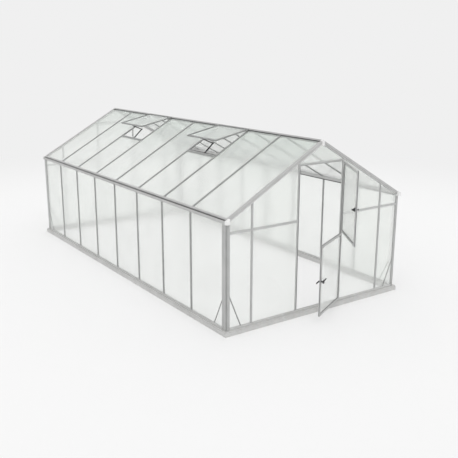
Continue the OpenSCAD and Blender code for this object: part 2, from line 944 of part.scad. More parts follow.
// Lever handle on the face y = 0, standing out towards -Y, its lever towards the hinge
module lever_handle() {
    translate([0, -fit, 0]) rotate([90, 0, 0]) {
        cylinder(h = lever_r, r = leaf_bar * 2 / 5, $fn = 48);
        cylinder(h = lever_off, r = lever_r, $fn = 32);
    }
    translate([-lever_r / 2, -fit - lever_off, 0]) rotate([0, 90, 0])
        cylinder(h = lever_len + lever_r / 2, r = lever_r, $fn = 32);
}

// Inner pull in profile: a strap that stands off the face x = 0 and hangs down
module drop_pull() {
    thick = lever_r * 2;
    polygon([
        [0, -thick / 2],
        [thick / 2, -thick / 2],
        [pull_off - thick / 4, -pull_drop - thick / 2],
        [pull_off, -pull_drop],
        [pull_off - thick / 4, -pull_drop + thick / 2],
        [thick / 2, thick / 2],
        [0, thick / 2]
    ]);
}

// Pull of the leaf's inner face, its outline drawn in the Y-Z plane
module inner_pull() {
    translate([-pull_w / 2, leaf_t + fit, 0]) rotate([90, 0, 90]) linear_extrude(pull_w)
        children();
}

module lower_leaf_frame() {
    color(metal) leaf_turn(lower_angle) leaf_frame(leaf_foot, lower_top);
}

module lower_leaf_sheet() {
    color(sheet_colour) leaf_turn(lower_angle) leaf_sheet(leaf_foot, lower_top);
}

module lower_leaf_hinges() {
    color(metal) leaf_turn(lower_angle)
        for (z = hinge_heights(leaf_foot, lower_top)) leaf_hinge(z);
}

module lower_handles() {
    color(black) leaf_turn(lower_angle) translate([handle_x, 0, leaf_foot + handle_rise]) {
        lever_handle();
        inner_pull() drop_pull();
    }
}

module upper_leaf_frame() {
    color(metal) leaf_turn(upper_angle) leaf_frame(upper_foot, upper_top);
}

module upper_leaf_sheet() {
    color(sheet_colour) leaf_turn(upper_angle) leaf_sheet(upper_foot, upper_top);
}

module upper_leaf_hinges() {
    color(metal) leaf_turn(upper_angle)
        for (z = hinge_heights(upper_foot, upper_top)) leaf_hinge(z);
}

// Latch of the upper leaf: a tapered pull inside and a small knob outside
module upper_latch() {
    tip = pull_h / 5;
    color(black) leaf_turn(upper_angle) translate([handle_x, 0, upper_foot + latch_rise]) {
        inner_pull() polygon([
            [0, -pull_h / 2],
            [pull_off, -tip / 2],
            [pull_off, tip / 2],
            [0, pull_h / 2]
        ]);
        translate([0, -fit, 0]) rotate([90, 0, 0])
            cylinder(h = pull_off / 2, r = leaf_bar / 3, $fn = 48);
    }
}

base_front();
base_back();
base_left();
base_right();
side_sills();
end_sills();
corner_posts_front();
corner_posts_back();
gutter_left();
gutter_right();
gutter_caps();
ridge_beam();
ridge_cover();
ridge_caps();
rafters_front();
rafters_back();
wall_bars_left();
wall_bars_right();
roof_bars_left();
roof_bars_right();
gable_bars_front();
gable_bars_back();
door_jambs();
gable_rails_front();
gable_rails_back();
wall_sheets_left();
wall_sheets_right();
roof_sheets_left();
roof_sheets_right();
gable_sheets_front();
gable_sheets_back();
vent_sills();
vent_sashes();
vent_sheets();
vent_stays();
corner_braces();
jamb_hinges();
lower_leaf_frame();
lower_leaf_sheet();
lower_leaf_hinges();
lower_handles();
upper_leaf_frame();
upper_leaf_sheet();
upper_leaf_hinges();
upper_latch();
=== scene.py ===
import json
import math

import bpy
from mathutils import Matrix, Vector


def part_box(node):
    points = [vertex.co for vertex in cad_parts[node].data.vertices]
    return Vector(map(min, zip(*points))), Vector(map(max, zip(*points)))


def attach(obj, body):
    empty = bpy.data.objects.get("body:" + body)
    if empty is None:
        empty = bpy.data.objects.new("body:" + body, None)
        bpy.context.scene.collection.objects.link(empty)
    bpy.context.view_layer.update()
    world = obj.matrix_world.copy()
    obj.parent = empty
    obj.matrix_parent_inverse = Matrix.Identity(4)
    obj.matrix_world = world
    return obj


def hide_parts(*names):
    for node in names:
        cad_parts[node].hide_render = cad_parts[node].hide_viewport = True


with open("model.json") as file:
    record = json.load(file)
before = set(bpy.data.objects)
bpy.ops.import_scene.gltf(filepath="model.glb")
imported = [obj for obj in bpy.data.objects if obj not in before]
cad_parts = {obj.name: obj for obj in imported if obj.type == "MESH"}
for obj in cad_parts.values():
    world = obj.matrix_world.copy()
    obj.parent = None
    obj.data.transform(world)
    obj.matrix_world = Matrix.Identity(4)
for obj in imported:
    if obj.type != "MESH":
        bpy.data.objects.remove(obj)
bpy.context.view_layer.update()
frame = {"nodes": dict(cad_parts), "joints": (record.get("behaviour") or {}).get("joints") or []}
nodes = frame["nodes"]

# ---- Base rails ----
# Four lengths of pale drawn aluminium that lie flat on the ground, mitred at the corners.
# They carry the whole building, and their outer faces have a step along the top.

X, Y, Z = (1, 0, 0), (0, 1, 0), (0, 0, 1)
BASE_GREY = (0.60, 0.60, 0.595)
DUST = (0.34, 0.325, 0.29)
DUST_HIGH = 0.22


def give(tree, node, values):
    """Sets a node's sockets to numbers or colours, or wires other nodes' outputs to them."""
    for name, value in values.items():
        socket = node.inputs[name]
        if isinstance(value, (int, float)):
            socket.default_value = value
        elif isinstance(value, tuple):
            socket.default_value = (*value[:3], 1) if socket.type == "RGBA" else value
        else:
            tree.links.new(value, socket)


def new_node(tree, kind, values, **settings):
    node = tree.nodes.new("ShaderNode" + kind)
    for name, value in settings.items():
        setattr(node, name, value)
    give(tree, node, values)
    return node


def math_node(tree, operation, first, second):
    return new_node(tree, "Math", {0: first, 1: second}, operation=operation).outputs[0]


def vector_node(tree, operation, *values, **scale):
    node = new_node(tree, "VectorMath", {**dict(enumerate(values)), **scale},
                    operation=operation)
    return node.outputs["Value" if operation in ("DOT_PRODUCT", "DISTANCE") else "Vector"]


def axes_of(tree, place):
    """The X, Y and Z of a place, each on its own."""
    return new_node(tree, "SeparateXYZ", {0: place}).outputs


def noise_node(tree, place, scale, detail):
    return new_node(tree, "TexNoise", {"Vector": place, "Scale": scale, "Detail": detail,
                                       "Roughness": 0.55}).outputs["Fac"]


def range_node(tree, value, low, high, to_low, to_high):
    """Smooth change from to_low to to_high while value goes from low to high."""
    return new_node(tree, "MapRange", {"Value": value, "From Min": low, "From Max": high,
                                       "To Min": to_low, "To Max": to_high},
                    interpolation_type="SMOOTHSTEP").outputs["Result"]


def colour_mix(tree, factor, first, second):
    return new_node(tree, "Mix", {0: factor, 6: first, 7: second}, data_type="RGBA").outputs[2]


def shader_group(name, takes, gives):
    """Node group with inputs of (name, kind, value) and outputs of (name, kind)."""
    group = bpy.data.node_groups.new(name, "ShaderNodeTree")
    for label, kind, value in takes:
        socket = group.interface.new_socket(name=label, in_out="INPUT", socket_type=kind)
        socket.default_value = value
    for label, kind in gives:
        group.interface.new_socket(name=label, in_out="OUTPUT", socket_type=kind)
    return group, group.nodes.new("NodeGroupInput").outputs, group.nodes.new("NodeGroupOutput")


VECTOR, COLOUR, NUMBER = "NodeSocketVector", "NodeSocketColor", "NodeSocketFloat"
FINISH = (("Colour", COLOUR), ("Roughness", NUMBER), ("Height", NUMBER))


def drawn_metal_group():
    """Grain of a drawn profile along Direction, dull patches and dust near the ground."""
    group, given, made = shader_group("drawn_metal", (
        ("Position", VECTOR, (0, 0, 0)), ("Direction", VECTOR, X),
        ("Colour", COLOUR, (0.4, 0.4, 0.4, 1)), ("Dulled", NUMBER, 0.42)), FINISH)
    place, along = given["Position"], given["Direction"]
    run = vector_node(group, "DOT_PRODUCT", place, along)
    lengthwise = vector_node(group, "SCALE", along, Scale=run)
    crosswise = vector_node(group, "SUBTRACT", place, lengthwise)
    slow = vector_node(group, "SCALE", lengthwise, Scale=0.012)
    streaks = noise_node(group, vector_node(group, "ADD", crosswise, slow), 420.0, 2.0)
    patches = noise_node(group, place, 5.5, 4.0)
    specks = noise_node(group, place, 95.0, 2.0)
    tone = math_node(group, "MULTIPLY", range_node(group, streaks, 0.3, 0.7, 0.93, 1.05),
                     range_node(group, patches, 0.35, 0.7, 1.03, 0.95))
    toned = vector_node(group, "SCALE", given["Colour"], Scale=tone)
    splash = range_node(group, axes_of(group, place)["Z"], 0.0, DUST_HIGH, 0.30, 0.0)
    dust = math_node(group, "MULTIPLY", splash, range_node(group, specks, 0.42, 0.62, 0.0, 1.0))
    rough = math_node(group, "ADD", given["Dulled"],
                      range_node(group, patches, 0.3, 0.75, -0.05, 0.10))
    give(group, made, {
        "Colour": colour_mix(group, dust, toned, DUST), "Height": streaks,
        "Roughness": math_node(group, "ADD", rough, math_node(group, "MULTIPLY", dust, 0.5))})
    return group


drawn_metal = drawn_metal_group()


def new_material(name):
    material = bpy.data.materials.new(name)
    material.use_nodes = True
    tree = material.node_tree
    place = new_node(tree, "TexCoord", {}).outputs["Object"]
    return material, tree, tree.nodes["Principled BSDF"], place


def bump(tree, height, strength, distance):
    return new_node(tree, "Bump", {"Strength": strength, "Distance": distance,
                                   "Height": height}).outputs["Normal"]


def grained(name, group, strength, distance, metallic=0.0, **values):
    """Material with its colour, roughness and fine relief from a node group."""
    material, tree, shader, place = new_material(name)
    made = new_node(tree, "Group", {"Position": place, **values}, node_tree=group).outputs
    give(tree, shader, {"Base Color": made["Colour"], "Roughness": made["Roughness"],
                        "Normal": bump(tree, made["Height"], strength, distance),
                        "Metallic": metallic})
    return material


def profile_metal(name, colour, direction, dulled=0.42, metallic=0.45):
    """Satin aluminium, drawn along the given direction."""
    return grained(name, drawn_metal, 0.12, 0.0004, metallic, Direction=tuple(direction),
                   Colour=colour, Dulled=dulled)


def finish_nodes(material, *names):
    for name in names:
        mesh = nodes[name].data
        mesh.materials.clear()
        mesh.materials.append(material)


finish_nodes(profile_metal("base_metal_across", BASE_GREY, X), "base_front", "base_back")
finish_nodes(profile_metal("base_metal_along", BASE_GREY, Y), "base_left", "base_right")

# ---- Sills ----
# Low aluminium profiles screwed down on the base, with a groove for the sheets. The front
# one runs through the doorway as its threshold.

SILL_GREY = (0.62, 0.625, 0.62)
STEEL_GREY = (0.42, 0.42, 0.41)
BARS, BAR_WIDE = 7, 0.030

finish_nodes(profile_metal("sill_metal_along", SILL_GREY, Y), "side_sills")
finish_nodes(profile_metal("sill_metal_across", SILL_GREY, X), "end_sills")

base_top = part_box("base_front")[1].z
sill_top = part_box("end_sills")[1].z
wall_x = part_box("corner_posts_front")[0].x
back_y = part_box("corner_posts_back")[1].y
bars_low, bars_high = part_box("wall_bars_left")
bar_pitch = (bars_high.y - bars_low.y - BAR_WIDE) / (BARS - 1)
bar_places = [bars_low.y + BAR_WIDE / 2 + step * bar_pitch for step in range(BARS)]


def at(x, y, z):
    return Matrix.Translation((x, y, z))


MIRROR_X = Matrix.Scale(-1, 4, X)
MIRROR_Y = at(0, back_y, 0) @ Matrix.Scale(-1, 4, Y)
SIDES = (Matrix.Identity(4), MIRROR_X)
ENDS = (Matrix.Identity(4), MIRROR_Y)
CORNERS = [end @ side for end in ENDS for side in SIDES]


def at_corners(places):
    """The places at the left front corner, and the same ones at the other three."""
    return [corner @ place for corner in CORNERS for place in places]


def start_piece(name, primitive, **given):
    """Adds a primitive with nothing else selected."""
    bpy.ops.object.select_all(action="DESELECT")
    primitive(**given)
    bpy.context.object.name = name
    return bpy.context.object


def settle():
    """Takes the active piece's place and size into its mesh."""
    bpy.ops.object.transform_apply(location=True, rotation=True, scale=True)


def edit_all():
    bpy.ops.object.mode_set(mode="EDIT")
    bpy.ops.mesh.select_all(action="SELECT")


def close_up(crease=None):
    """Turns all faces out, ends the editing and smooths the edges flatter than crease."""
    bpy.ops.mesh.select_all(action="SELECT")
    bpy.ops.mesh.normals_make_consistent(inside=False)
    bpy.ops.object.mode_set(mode="OBJECT")
    if crease:
        bpy.ops.object.shade_smooth_by_angle(angle=math.radians(crease))


def put(piece, move):
    """Moves a piece's mesh, and turns its faces back out where the move mirrors it."""
    piece.data.transform(move)
    if move.determinant() < 0:
        piece.data.flip_normals()
    return piece


def joined(name, pieces):
    bpy.ops.object.select_all(action="DESELECT")
    for piece in pieces:
        piece.select_set(True)
    bpy.context.view_layer.objects.active = pieces[0]
    bpy.ops.object.join()
    bpy.context.object.name = name
    return bpy.context.object


def copies(name, pattern, moves):
    """One copy of the pattern for each move, each with its own mesh, joined in one piece."""
    made = []
    for move in moves:
        copy = pattern.copy()
        copy.data = pattern.data.copy()
        bpy.context.collection.objects.link(copy)
        made.append(put(copy, move))
    bpy.data.objects.remove(pattern)
    return joined(name, made)


def turned(name, outline, steps=12):
    """Turned shape about Z from an outline of (radius, height) points, closed at both poles."""
    piece = start_piece(name, bpy.ops.mesh.primitive_circle_add, vertices=len(outline),
                        fill_type="NOTHING")
    for corner, (radius, height) in zip(piece.data.vertices, outline):
        corner.co = (radius, 0, height)
    edit_all()
    bpy.ops.mesh.spin(steps=steps, angle=math.tau, center=(0, 0, 0), axis=Z)
    bpy.ops.mesh.select_all(action="SELECT")
    bpy.ops.mesh.remove_doubles(threshold=1e-5)
    bpy.ops.mesh.delete_loose()
    close_up(40)
    return piece


def facing(point, out):
    """Place with +Z pointing out of a face."""
    return at(*point) @ Vector(out).to_track_quat("Z", "Y").to_matrix().to_4x4()


def fasten(piece, material, body="house"):
    piece.data.materials.clear()
    piece.data.materials.append(material)
    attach(piece, body)


def pan_screw():
    """Pan-head screw with a sunk drive."""
    return turned("pan_screw", [(0, 0.0012), (0.0011, 0.0012), (0.0013, 0.0026), (0.0028, 0.0023),
                                (0.0040, 0.0012), (0.0043, -0.0004), (0, -0.0004)])


bolt_steel = profile_metal("bolt_steel", STEEL_GREY, Z, 0.36, 0.75)
sill_x, sill_screw_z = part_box("side_sills")[0].x, (base_top + sill_top) / 2
sill_screws = [side @ facing((sill_x, place, sill_screw_z), (-1, 0, 0))
               for side in SIDES for place in bar_places]
fasten(copies("sill_screws", pan_screw(), sill_screws), bolt_steel)

# ---- Corner posts ----
# Upright aluminium profiles with a flange along each wall and an open notch down the corner.
# Their part on the room's side, behind the sheets, is painted pale as painted light. They are
# bolted to the base and to the gutter beam.

POST_GREY = (0.45, 0.455, 0.45)
POST_INNER_PAINTED_LIGHT = (0.88, 0.885, 0.88)
POST_LAP, POST_BLEND = 0.0235, 0.0005
SIDE_BOLT_Y, GABLE_BOLT_X = 0.052, 0.033
BOLT_FOOT, BOLT_SECOND, BOLT_THIRD, BOLT_TOP = 0.05, 0.13, 0.10, 0.03


def above(tree, value, level, blend):
    """Mask that rises from 0 to 1 over a short blend above a level."""
    return range_node(tree, value, level, level + blend, 0.0, 1.0)


def under(tree, value, level, blend):
    """Mask that falls from 1 to 0 over a short blend above a level."""
    return range_node(tree, value, level, level + blend, 1.0, 0.0)


def repaint(material, colour, masks):
    """Another colour where all masks hold, each given as (axis, above or under, level, blend)."""
    tree = material.node_tree
    shader = tree.nodes["Principled BSDF"]
    clean = shader.inputs["Base Color"].links[0].from_socket
    axes = axes_of(tree, tree.nodes["Texture Coordinate"].outputs["Object"])
    from_middle = math_node(tree, "ABSOLUTE", axes["X"], 0.0)
    whole = None
    for axis, kind, level, blend in masks:
        mask = kind(tree, from_middle if axis == "X" else axes[axis], level, blend)
        whole = mask if whole is None else math_node(tree, "MULTIPLY", whole, mask)
    give(tree, shader, {"Base Color": colour_mix(tree, whole, clean, colour)})
    return material


# Painted light: the posts' inner part, behind the sheets, is painted pale in place of the light
# there
post_metal = repaint(profile_metal("post_metal", POST_GREY, Z), POST_INNER_PAINTED_LIGHT, (
    ("X", under, -wall_x - POST_LAP, POST_BLEND),
    ("Y", above, POST_LAP + POST_BLEND, POST_BLEND),
    ("Y", under, back_y - POST_LAP - 2 * POST_BLEND, POST_BLEND)))
finish_nodes(post_metal, "corner_posts_front", "corner_posts_back")


def bevel_all(width):
    """Settles the active piece and bevels every edge."""
    settle()
    edit_all()
    bpy.ops.mesh.bevel(offset=width, segments=2, affect="EDGES")
    bpy.ops.object.mode_set(mode="OBJECT")


def hex_bolt():
    """Hexagon head on a washer."""
    washer = turned("washer", [(0, -0.0004), (0.0088, -0.0004), (0.0088, 0.0011),
                               (0.0084, 0.0015), (0, 0.0015)], 20)
    head = start_piece("head", bpy.ops.mesh.primitive_cylinder_add, vertices=6, radius=0.0062,
                       depth=0.0045, location=(0, 0, 0.0035))
    bevel_all(0.0006)
    return joined("hex_bolt", [washer, head])


beam_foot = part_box("gutter_left")[0].z
side_bolts = [facing((wall_x, SIDE_BOLT_Y, height), (-1, 0, 0))
              for height in (base_top + BOLT_FOOT, base_top + BOLT_SECOND,
                             beam_foot - BOLT_THIRD, beam_foot - BOLT_TOP)]
gable_bolts = [facing((wall_x + GABLE_BOLT_X, 0, height), (0, -1, 0))
               for height in (base_top + BOLT_FOOT, beam_foot - BOLT_TOP)]
fasten(copies("post_bolts", hex_bolt(), at_corners(side_bolts + gable_bolts)), bolt_steel)

# ---- Wall bars ----
# Aluminium glazing bars between the side sheets, slotted on both sides and screwed to the
# sill and to the gutter beam, with a rounded rib down the outside.

FRAME_GREY = (0.37, 0.375, 0.37)
RIB_WIDE, RIB_PROUD, RIB_SUNK = 0.013, 0.0045, 0.0006

upright_metal = profile_metal("upright_metal", FRAME_GREY, Z)
finish_nodes(upright_metal, "wall_bars_left", "wall_bars_right")


def pull(run):
    """Draws what is selected out along run."""
    bpy.ops.mesh.extrude_region_move(TRANSFORM_OT_translate={"value": tuple(run)})


def drawn_strip(name, outline, run):
    """Length of a drawn profile: a closed outline of points pulled along run."""
    piece = start_piece(name, bpy.ops.mesh.primitive_circle_add, vertices=len(outline),
                        fill_type="NGON")
    for corner, place in zip(piece.data.vertices, outline):
        corner.co = place
    edit_all()
    pull(run)
    close_up(35)
    return piece


# Section of the rib, as (across, out) points from its middle to its edge, and then whole
half_rib = [(RIB_WIDE * 0.22, RIB_PROUD), (RIB_WIDE * 0.40, RIB_PROUD * 0.78),
            (RIB_WIDE / 2, RIB_PROUD * 0.35), (RIB_WIDE / 2, -RIB_SUNK)]
rib_section = [(-across, out) for across, out in reversed(half_rib)] + half_rib

wall_rib = drawn_strip("wall_rib", [(wall_x - out, across, bars_low.z)
                                    for across, out in rib_section],
                       (0, 0, bars_high.z - bars_low.z))
wall_ribs = [side @ at(0, place, 0) for side in SIDES for place in bar_places]
fasten(copies("wall_bar_ribs", wall_rib, wall_ribs), upright_metal)

# ---- Gutters ----
# Aluminium eave beams drawn with their own gutter, the trough painted dark as painted shade.
# They run from gable to gable, with a rolled bead along the lip painted dark as painted shadow.

GUTTER_GREY = (0.49, 0.49, 0.485)
TROUGH_SHADE = (0.03, 0.03, 0.03)
BEAD_SHADE_GREY = (0.17, 0.17, 0.17)
LIP_THICK, LIP_HIGH, LIP_BEAD = 0.003, 0.046, 0.0028
TROUGH_WIDE, TROUGH_FLOOR = 0.022, 0.017

gutter_low, gutter_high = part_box("gutter_left")
lip_x, lip_z = -gutter_low.x - LIP_THICK, gutter_low.z + LIP_HIGH
floor_z = lip_z - LIP_HIGH + TROUGH_FLOOR
# Painted shade: the inside of the trough is painted nearly black in place of its shade
gutter_metal = repaint(profile_metal("gutter_metal", GUTTER_GREY, Y), TROUGH_SHADE, (
    ("X", under, lip_x - 0.0004, 0.0005), ("X", above, lip_x - TROUGH_WIDE - 0.0015, 0.0015),
    ("Z", under, lip_z - 0.003, 0.002), ("Z", above, floor_z - 0.0015, 0.001)))
finish_nodes(gutter_metal, "gutter_left", "gutter_right")


def ring_points(radius, count):
    turns = [math.tau * step / count for step in range(count)]
    return [(radius * math.cos(turn), radius * math.sin(turn)) for turn in turns]


lip_middle = gutter_low.x + LIP_THICK / 2
lip_bead = drawn_strip("lip_bead", [(lip_middle + across, gutter_low.y, lip_z + up)
                                    for across, up in ring_points(LIP_BEAD, 10)],
                       (0, gutter_high.y - gutter_low.y, 0))
# Painted shadow: the lip bead is painted dark in place of the shadow along the lip
fasten(copies("gutter_lip_beads", lip_bead, SIDES), profile_metal("bead_metal", BEAD_SHADE_GREY, Y))

# ---- End caps ----
# White moulded plastic caps with rounded edges, pushed on the open ends of the gutter
# beams and of the ridge.

CAP_WHITE = (0.76, 0.76, 0.755)


def moulded_plastic_group():
    """Fine moulded grain with faint clouds, for hard plastic and rubber."""
    group, given, made = shader_group("moulded_plastic", (
        ("Position", VECTOR, (0, 0, 0)), ("Colour", COLOUR, (0.5, 0.5, 0.5, 1)),
        ("Roughness", NUMBER, 0.45)), FINISH)
    clouds = noise_node(group, given["Position"], 14.0, 4.0)
    tone = range_node(group, clouds, 0.3, 0.7, 0.93, 1.04)
    rough = range_node(group, clouds, 0.3, 0.7, -0.06, 0.08)
    give(group, made, {"Colour": vector_node(group, "SCALE", given["Colour"], Scale=tone),
                       "Roughness": math_node(group, "ADD", given["Roughness"], rough),
                       "Height": noise_node(group, given["Position"], 900.0, 2.0)})
    return group


moulded_plastic = moulded_plastic_group()


def plastic(name, colour, rough):
    return grained(name, moulded_plastic, 0.15, 0.0002, Colour=colour, Roughness=rough)


def eased(piece, radius, segments, sharper, crease=None):
    """Rounds the edges of a piece that turn by more than sharper, given in degrees."""
    bpy.context.view_layer.objects.active = piece
    bevel = piece.modifiers.new("rounded", "BEVEL")
    bevel.width = radius
    bevel.segments = segments
    bevel.limit_method = "ANGLE"
    bevel.angle_limit = math.radians(sharper)
    bpy.ops.object.modifier_apply(modifier=bevel.name)
    if crease:
        bpy.ops.object.shade_smooth_by_angle(angle=math.radians(crease))
    return piece


def softened(name, node, radius):
    """Copy of a CAD node with its edges rounded, which then stands for the node."""
    piece = nodes[node].copy()
    piece.data = nodes[node].data.copy()
    bpy.context.collection.objects.link(piece)
    piece.name = name
    bpy.ops.object.select_all(action="DESELECT")
    piece.select_set(True)
    bpy.context.view_layer.objects.active = piece
    edit_all()
    bpy.ops.mesh.remove_doubles(threshold=1e-5)
    bpy.ops.mesh.dissolve_limited(angle_limit=math.radians(1))
    bpy.ops.object.mode_set(mode="OBJECT")
    eased(piece, radius, 3, 20, 35)
    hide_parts(node)
    return piece


white_plastic = plastic("white_plastic", CAP_WHITE, 0.45)
for cap, node, radius in (("gutter_end_caps", "gutter_caps", 0.0012),
                          ("ridge_end_caps", "ridge_caps", 0.0009)):
    fasten(softened(cap, node, radius), white_plastic)
    finish_nodes(white_plastic, node)

# ---- Ridge ----
# An aluminium beam under the ridge and a cover over it, both drawn in one length. Black
# rubber seals close the gap between the cover's edges and the sheets, except at the vents;
# their dark band is also painted shadow, standing in for the shade under the cover's edges.

COVER_GREY = (0.42, 0.42, 0.415)
RUBBER_BLACK = (0.045, 0.045, 0.046)
SEAL_WIDE, SEAL_THICK, COVER_BEAD = 0.012, 0.0035, 0.0024
VENT_BAYS = (2, 5)

ridge_cover_metal = profile_metal("ridge_cover_metal", COVER_GREY, Y)
black_rubber = plastic("black_rubber", RUBBER_BLACK, 0.6)
finish_nodes(profile_metal("ridge_metal", FRAME_GREY, Y), "ridge_beam")
finish_nodes(ridge_cover_metal, "ridge_cover")

ridge_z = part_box("ridge_beam")[1].z
roof_pitch = math.atan2(ridge_z - gutter_high.z, -gutter_high.x)
slope_run, slope_rise = math.cos(roof_pitch), math.sin(roof_pitch)
slope_left = Vector((slope_run, 0, slope_rise))
slope_right = Vector((slope_run, 0, -slope_rise))
# On the left slope: +X along the building, +Y down the slope from the ridge, +Z out of the roof
on_slope = at(0, 0, ridge_z) @ Matrix((
    (0, -slope_run, -slope_rise), (1, 0, 0), (0, -slope_rise, slope_run))).to_4x4()
cover_low, cover_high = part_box("ridge_cover")
cover_edge = cover_high.x / slope_run


def bay_ends(bay):
    """Middles of the bars on either side of a bay."""
    return bar_places[bay - 1], bar_places[bay]


# Real rubber seals whose dark band also stands in for the shadow under the cover's edge
def ridge_seal(start, end):
    section = [(cover_edge - 0.002, -0.0006), (cover_edge - 0.002, SEAL_THICK),
               (cover_edge + SEAL_WIDE - 0.003, SEAL_THICK), (cover_edge + SEAL_WIDE, -0.0006)]
    return put(drawn_strip("ridge_seal", [(start, down, out) for down, out in section],
                           (end - start, 0, 0)), on_slope)


seal_ends = [cover_low.y] + [end for bay in VENT_BAYS for end in bay_ends(bay)] + [cover_high.y]
seals = [ridge_seal(start, end) for start, end in zip(seal_ends[::2], seal_ends[1::2])]
seals.append(put(ridge_seal(cover_low.y, cover_high.y), MIRROR_X))
fasten(joined("ridge_seals", seals), black_rubber)

edge_bead = drawn_strip("edge_bead", [(cover_low.y, cover_edge - 0.001 + across, 0.0022 + out)
                                      for across, out in ring_points(COVER_BEAD, 8)],
                        (cover_high.y - cover_low.y, 0, 0))
fasten(copies("ridge_cover_beads", put(edge_bead, on_slope), SIDES), ridge_cover_metal)

# ---- Rafters ----
# Aluminium gable rafters with a proud moulding over a recessed lower edge, cut to meet the
# ridge beam and the gutter beams, and screwed through the outer face.

RAFTER_GREY = (0.50, 0.50, 0.495)
VERGE_GREY = (0.66, 0.66, 0.655)
RAFTER_HEAD, RAFTER_CUT = 0.024, 0.012
RAFTER_SCREWS, SCREW_IN, SCREW_DOWN = 5, 0.04, 0.020
# Sections of the two beads on the outer face, as (out, depth) points
VERGE = ((0.0028, -0.033), (-0.0008, -0.0335), (-0.0022, -0.0355), (-0.0022, -0.0395),
         (-0.0008, -0.0425), (0.0028, -0.043))
MOULDING = ((0.0005, -0.0068), (-0.0009, -0.0072), (-0.0009, -0.0098), (0.0005, -0.0102))

rafter_metal = profile_metal("rafter_metal", RAFTER_GREY, slope_left)
finish_nodes(rafter_metal, "rafters_front", "rafters_back")

rafter_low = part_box("rafters_front")[0]
rafter_start = RAFTER_HEAD / slope_run
rafter_end = -rafter_low.x / slope_run - RAFTER_CUT


def rafter_bead(name, face, section, metal):
    strip = drawn_strip(name, [(face + out, rafter_start, depth) for out, depth in section],
                        (0, rafter_end - rafter_start, 0))
    fasten(copies(name, put(strip, on_slope), CORNERS), metal)


rafter_bead("verge_beads", 0, VERGE, profile_metal("verge_metal", VERGE_GREY, slope_left))
rafter_bead("rafter_ribs", rafter_low.y, MOULDING, rafter_metal)

screw_gap = (rafter_end - rafter_start - 2 * SCREW_IN) / (RAFTER_SCREWS - 1)
screw_points = [Vector((rafter_low.y, rafter_start + SCREW_IN + step * screw_gap, -SCREW_DOWN))
                for step in range(RAFTER_SCREWS)]
rafter_screws = [facing(on_slope @ point, (0, -1, 0)) for point in screw_points]
fasten(copies("rafter_screws", pan_screw(), at_corners(rafter_screws)), bolt_steel)

# ---- Roof bars ----
# Aluminium bars between the roof sheets, hung from the ridge beam to the gutter beams, with
# the wall bars' rounded rib. Beside a vent the rib starts at the vent's sill.

ROOF_BAR_GREY = (0.36, 0.365, 0.36)
RIB_HEAD = 0.045

roof_bar_left = profile_metal("roof_bar_metal_left", ROOF_BAR_GREY, slope_left)
roof_bar_right = profile_metal("roof_bar_metal_right", ROOF_BAR_GREY, slope_right)
finish_nodes(roof_bar_left, "roof_bars_left")
finish_nodes(roof_bar_right, "roof_bars_right")

rib_foot = -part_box("roof_bars_left")[0].x / slope_run
sill_foot = -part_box("vent_sills")[0].x / slope_run + 0.006
beside_vents = {bar for bay in VENT_BAYS for bar in (bay - 1, bay)}


def roof_rib(place, head):
    return put(drawn_strip("roof_rib", [(place + across, head, out) for across, out in rib_section],
                           (0, rib_foot - head, 0)), on_slope)


left_ribs = [roof_rib(place, sill_foot if bar in beside_vents else RIB_HEAD)
             for bar, place in enumerate(bar_places)]
fasten(joined("roof_bar_ribs_left", left_ribs), roof_bar_left)
right_ribs = [put(roof_rib(place, RIB_HEAD), MIRROR_X) for place in bar_places]
fasten(joined("roof_bar_ribs_right", right_ribs), roof_bar_right)

# ---- Gable bars and rails ----
# Aluminium uprights and rails of the two gables, screwed together. The front ones leave the
# doorway between two jambs and a head rail; at the back a fixed sheet takes its place.

RAIL_GREY = (0.52, 0.525, 0.52)
GABLE_GREY = (0.48, 0.485, 0.48)
RAIL_HIGH, JAMB_WIDE, JAMB_TOP = 0.028, 0.026, 0.022
SCREW_BESIDE = 0.014

across_metal = profile_metal("across_metal", RAIL_GREY, X)
gable_metal = profile_metal("gable_metal", GABLE_GREY, Z)
finish_nodes(gable_metal, "gable_bars_front", "gable_bars_back", "door_jambs")
finish_nodes(across_metal, "gable_rails_front", "gable_rails_back")

rails_low, rails_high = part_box("gable_rails_front")
gable_bars_low, gable_bars_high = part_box("gable_bars_front")
jamb_low, jamb_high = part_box("door_jambs")
gable_bar_x = gable_bars_low.x + BAR_WIDE / 2
outer_top = gable_bars_high.z - (BAR_WIDE + 0.004) * math.tan(roof_pitch)


def gable_rib(name, x, top, moves):
    """The wall bars' rib on the outside of a gable's upright."""
    rib = drawn_strip("gable_rib", [(x + across, -out, sill_top) for across, out in rib_section],
                      (0, 0, top - sill_top))
    fasten(copies(name, rib, moves), gable_metal)


gable_rib("gable_bar_ribs", gable_bar_x, outer_top, CORNERS)
gable_rib("back_bar_ribs", jamb_low.x + JAMB_WIDE / 2, jamb_high.z - JAMB_TOP,
          [MIRROR_Y, MIRROR_Y @ MIRROR_X])

rail_z, head_rail_z = rails_low.z + RAIL_HIGH / 2, rails_high.z - RAIL_HIGH / 2
screw_places = [(rails_low.x + SCREW_BESIDE, rail_z), (gable_bar_x - 2 * SCREW_BESIDE, rail_z),
                (gable_bar_x + 2 * SCREW_BESIDE, rail_z), (jamb_low.x - SCREW_BESIDE, rail_z),
                (jamb_low.x + JAMB_WIDE + SCREW_BESIDE, head_rail_z)]
rail_screws = [facing((x, 0, z), (0, -1, 0)) for x, z in screw_places]
fasten(copies("rail_screws", pan_screw(), at_corners(rail_screws)), bolt_steel)

# ---- Hollow sheets ----
# Twin-wall polycarbonate, 10 mm thick and milky, with ribs every 11 mm that run up the
# walls and down the roof. The sheets are pushed into the bars' grooves.

RIB_PITCH = 0.011
SHEET_TINT = (0.946, 0.958, 0.944)
RIB_TINT = (0.885, 0.90, 0.885)
ROOF_TOP_TINT = (0.92, 0.945, 0.93)
SHADE_FROM, SHADE_TO = 1.65, 2.30
ROOF_SHADE, ROOF_BLUR = 0.97, 0.17
WHITE = (1.0, 1.0, 1.0)


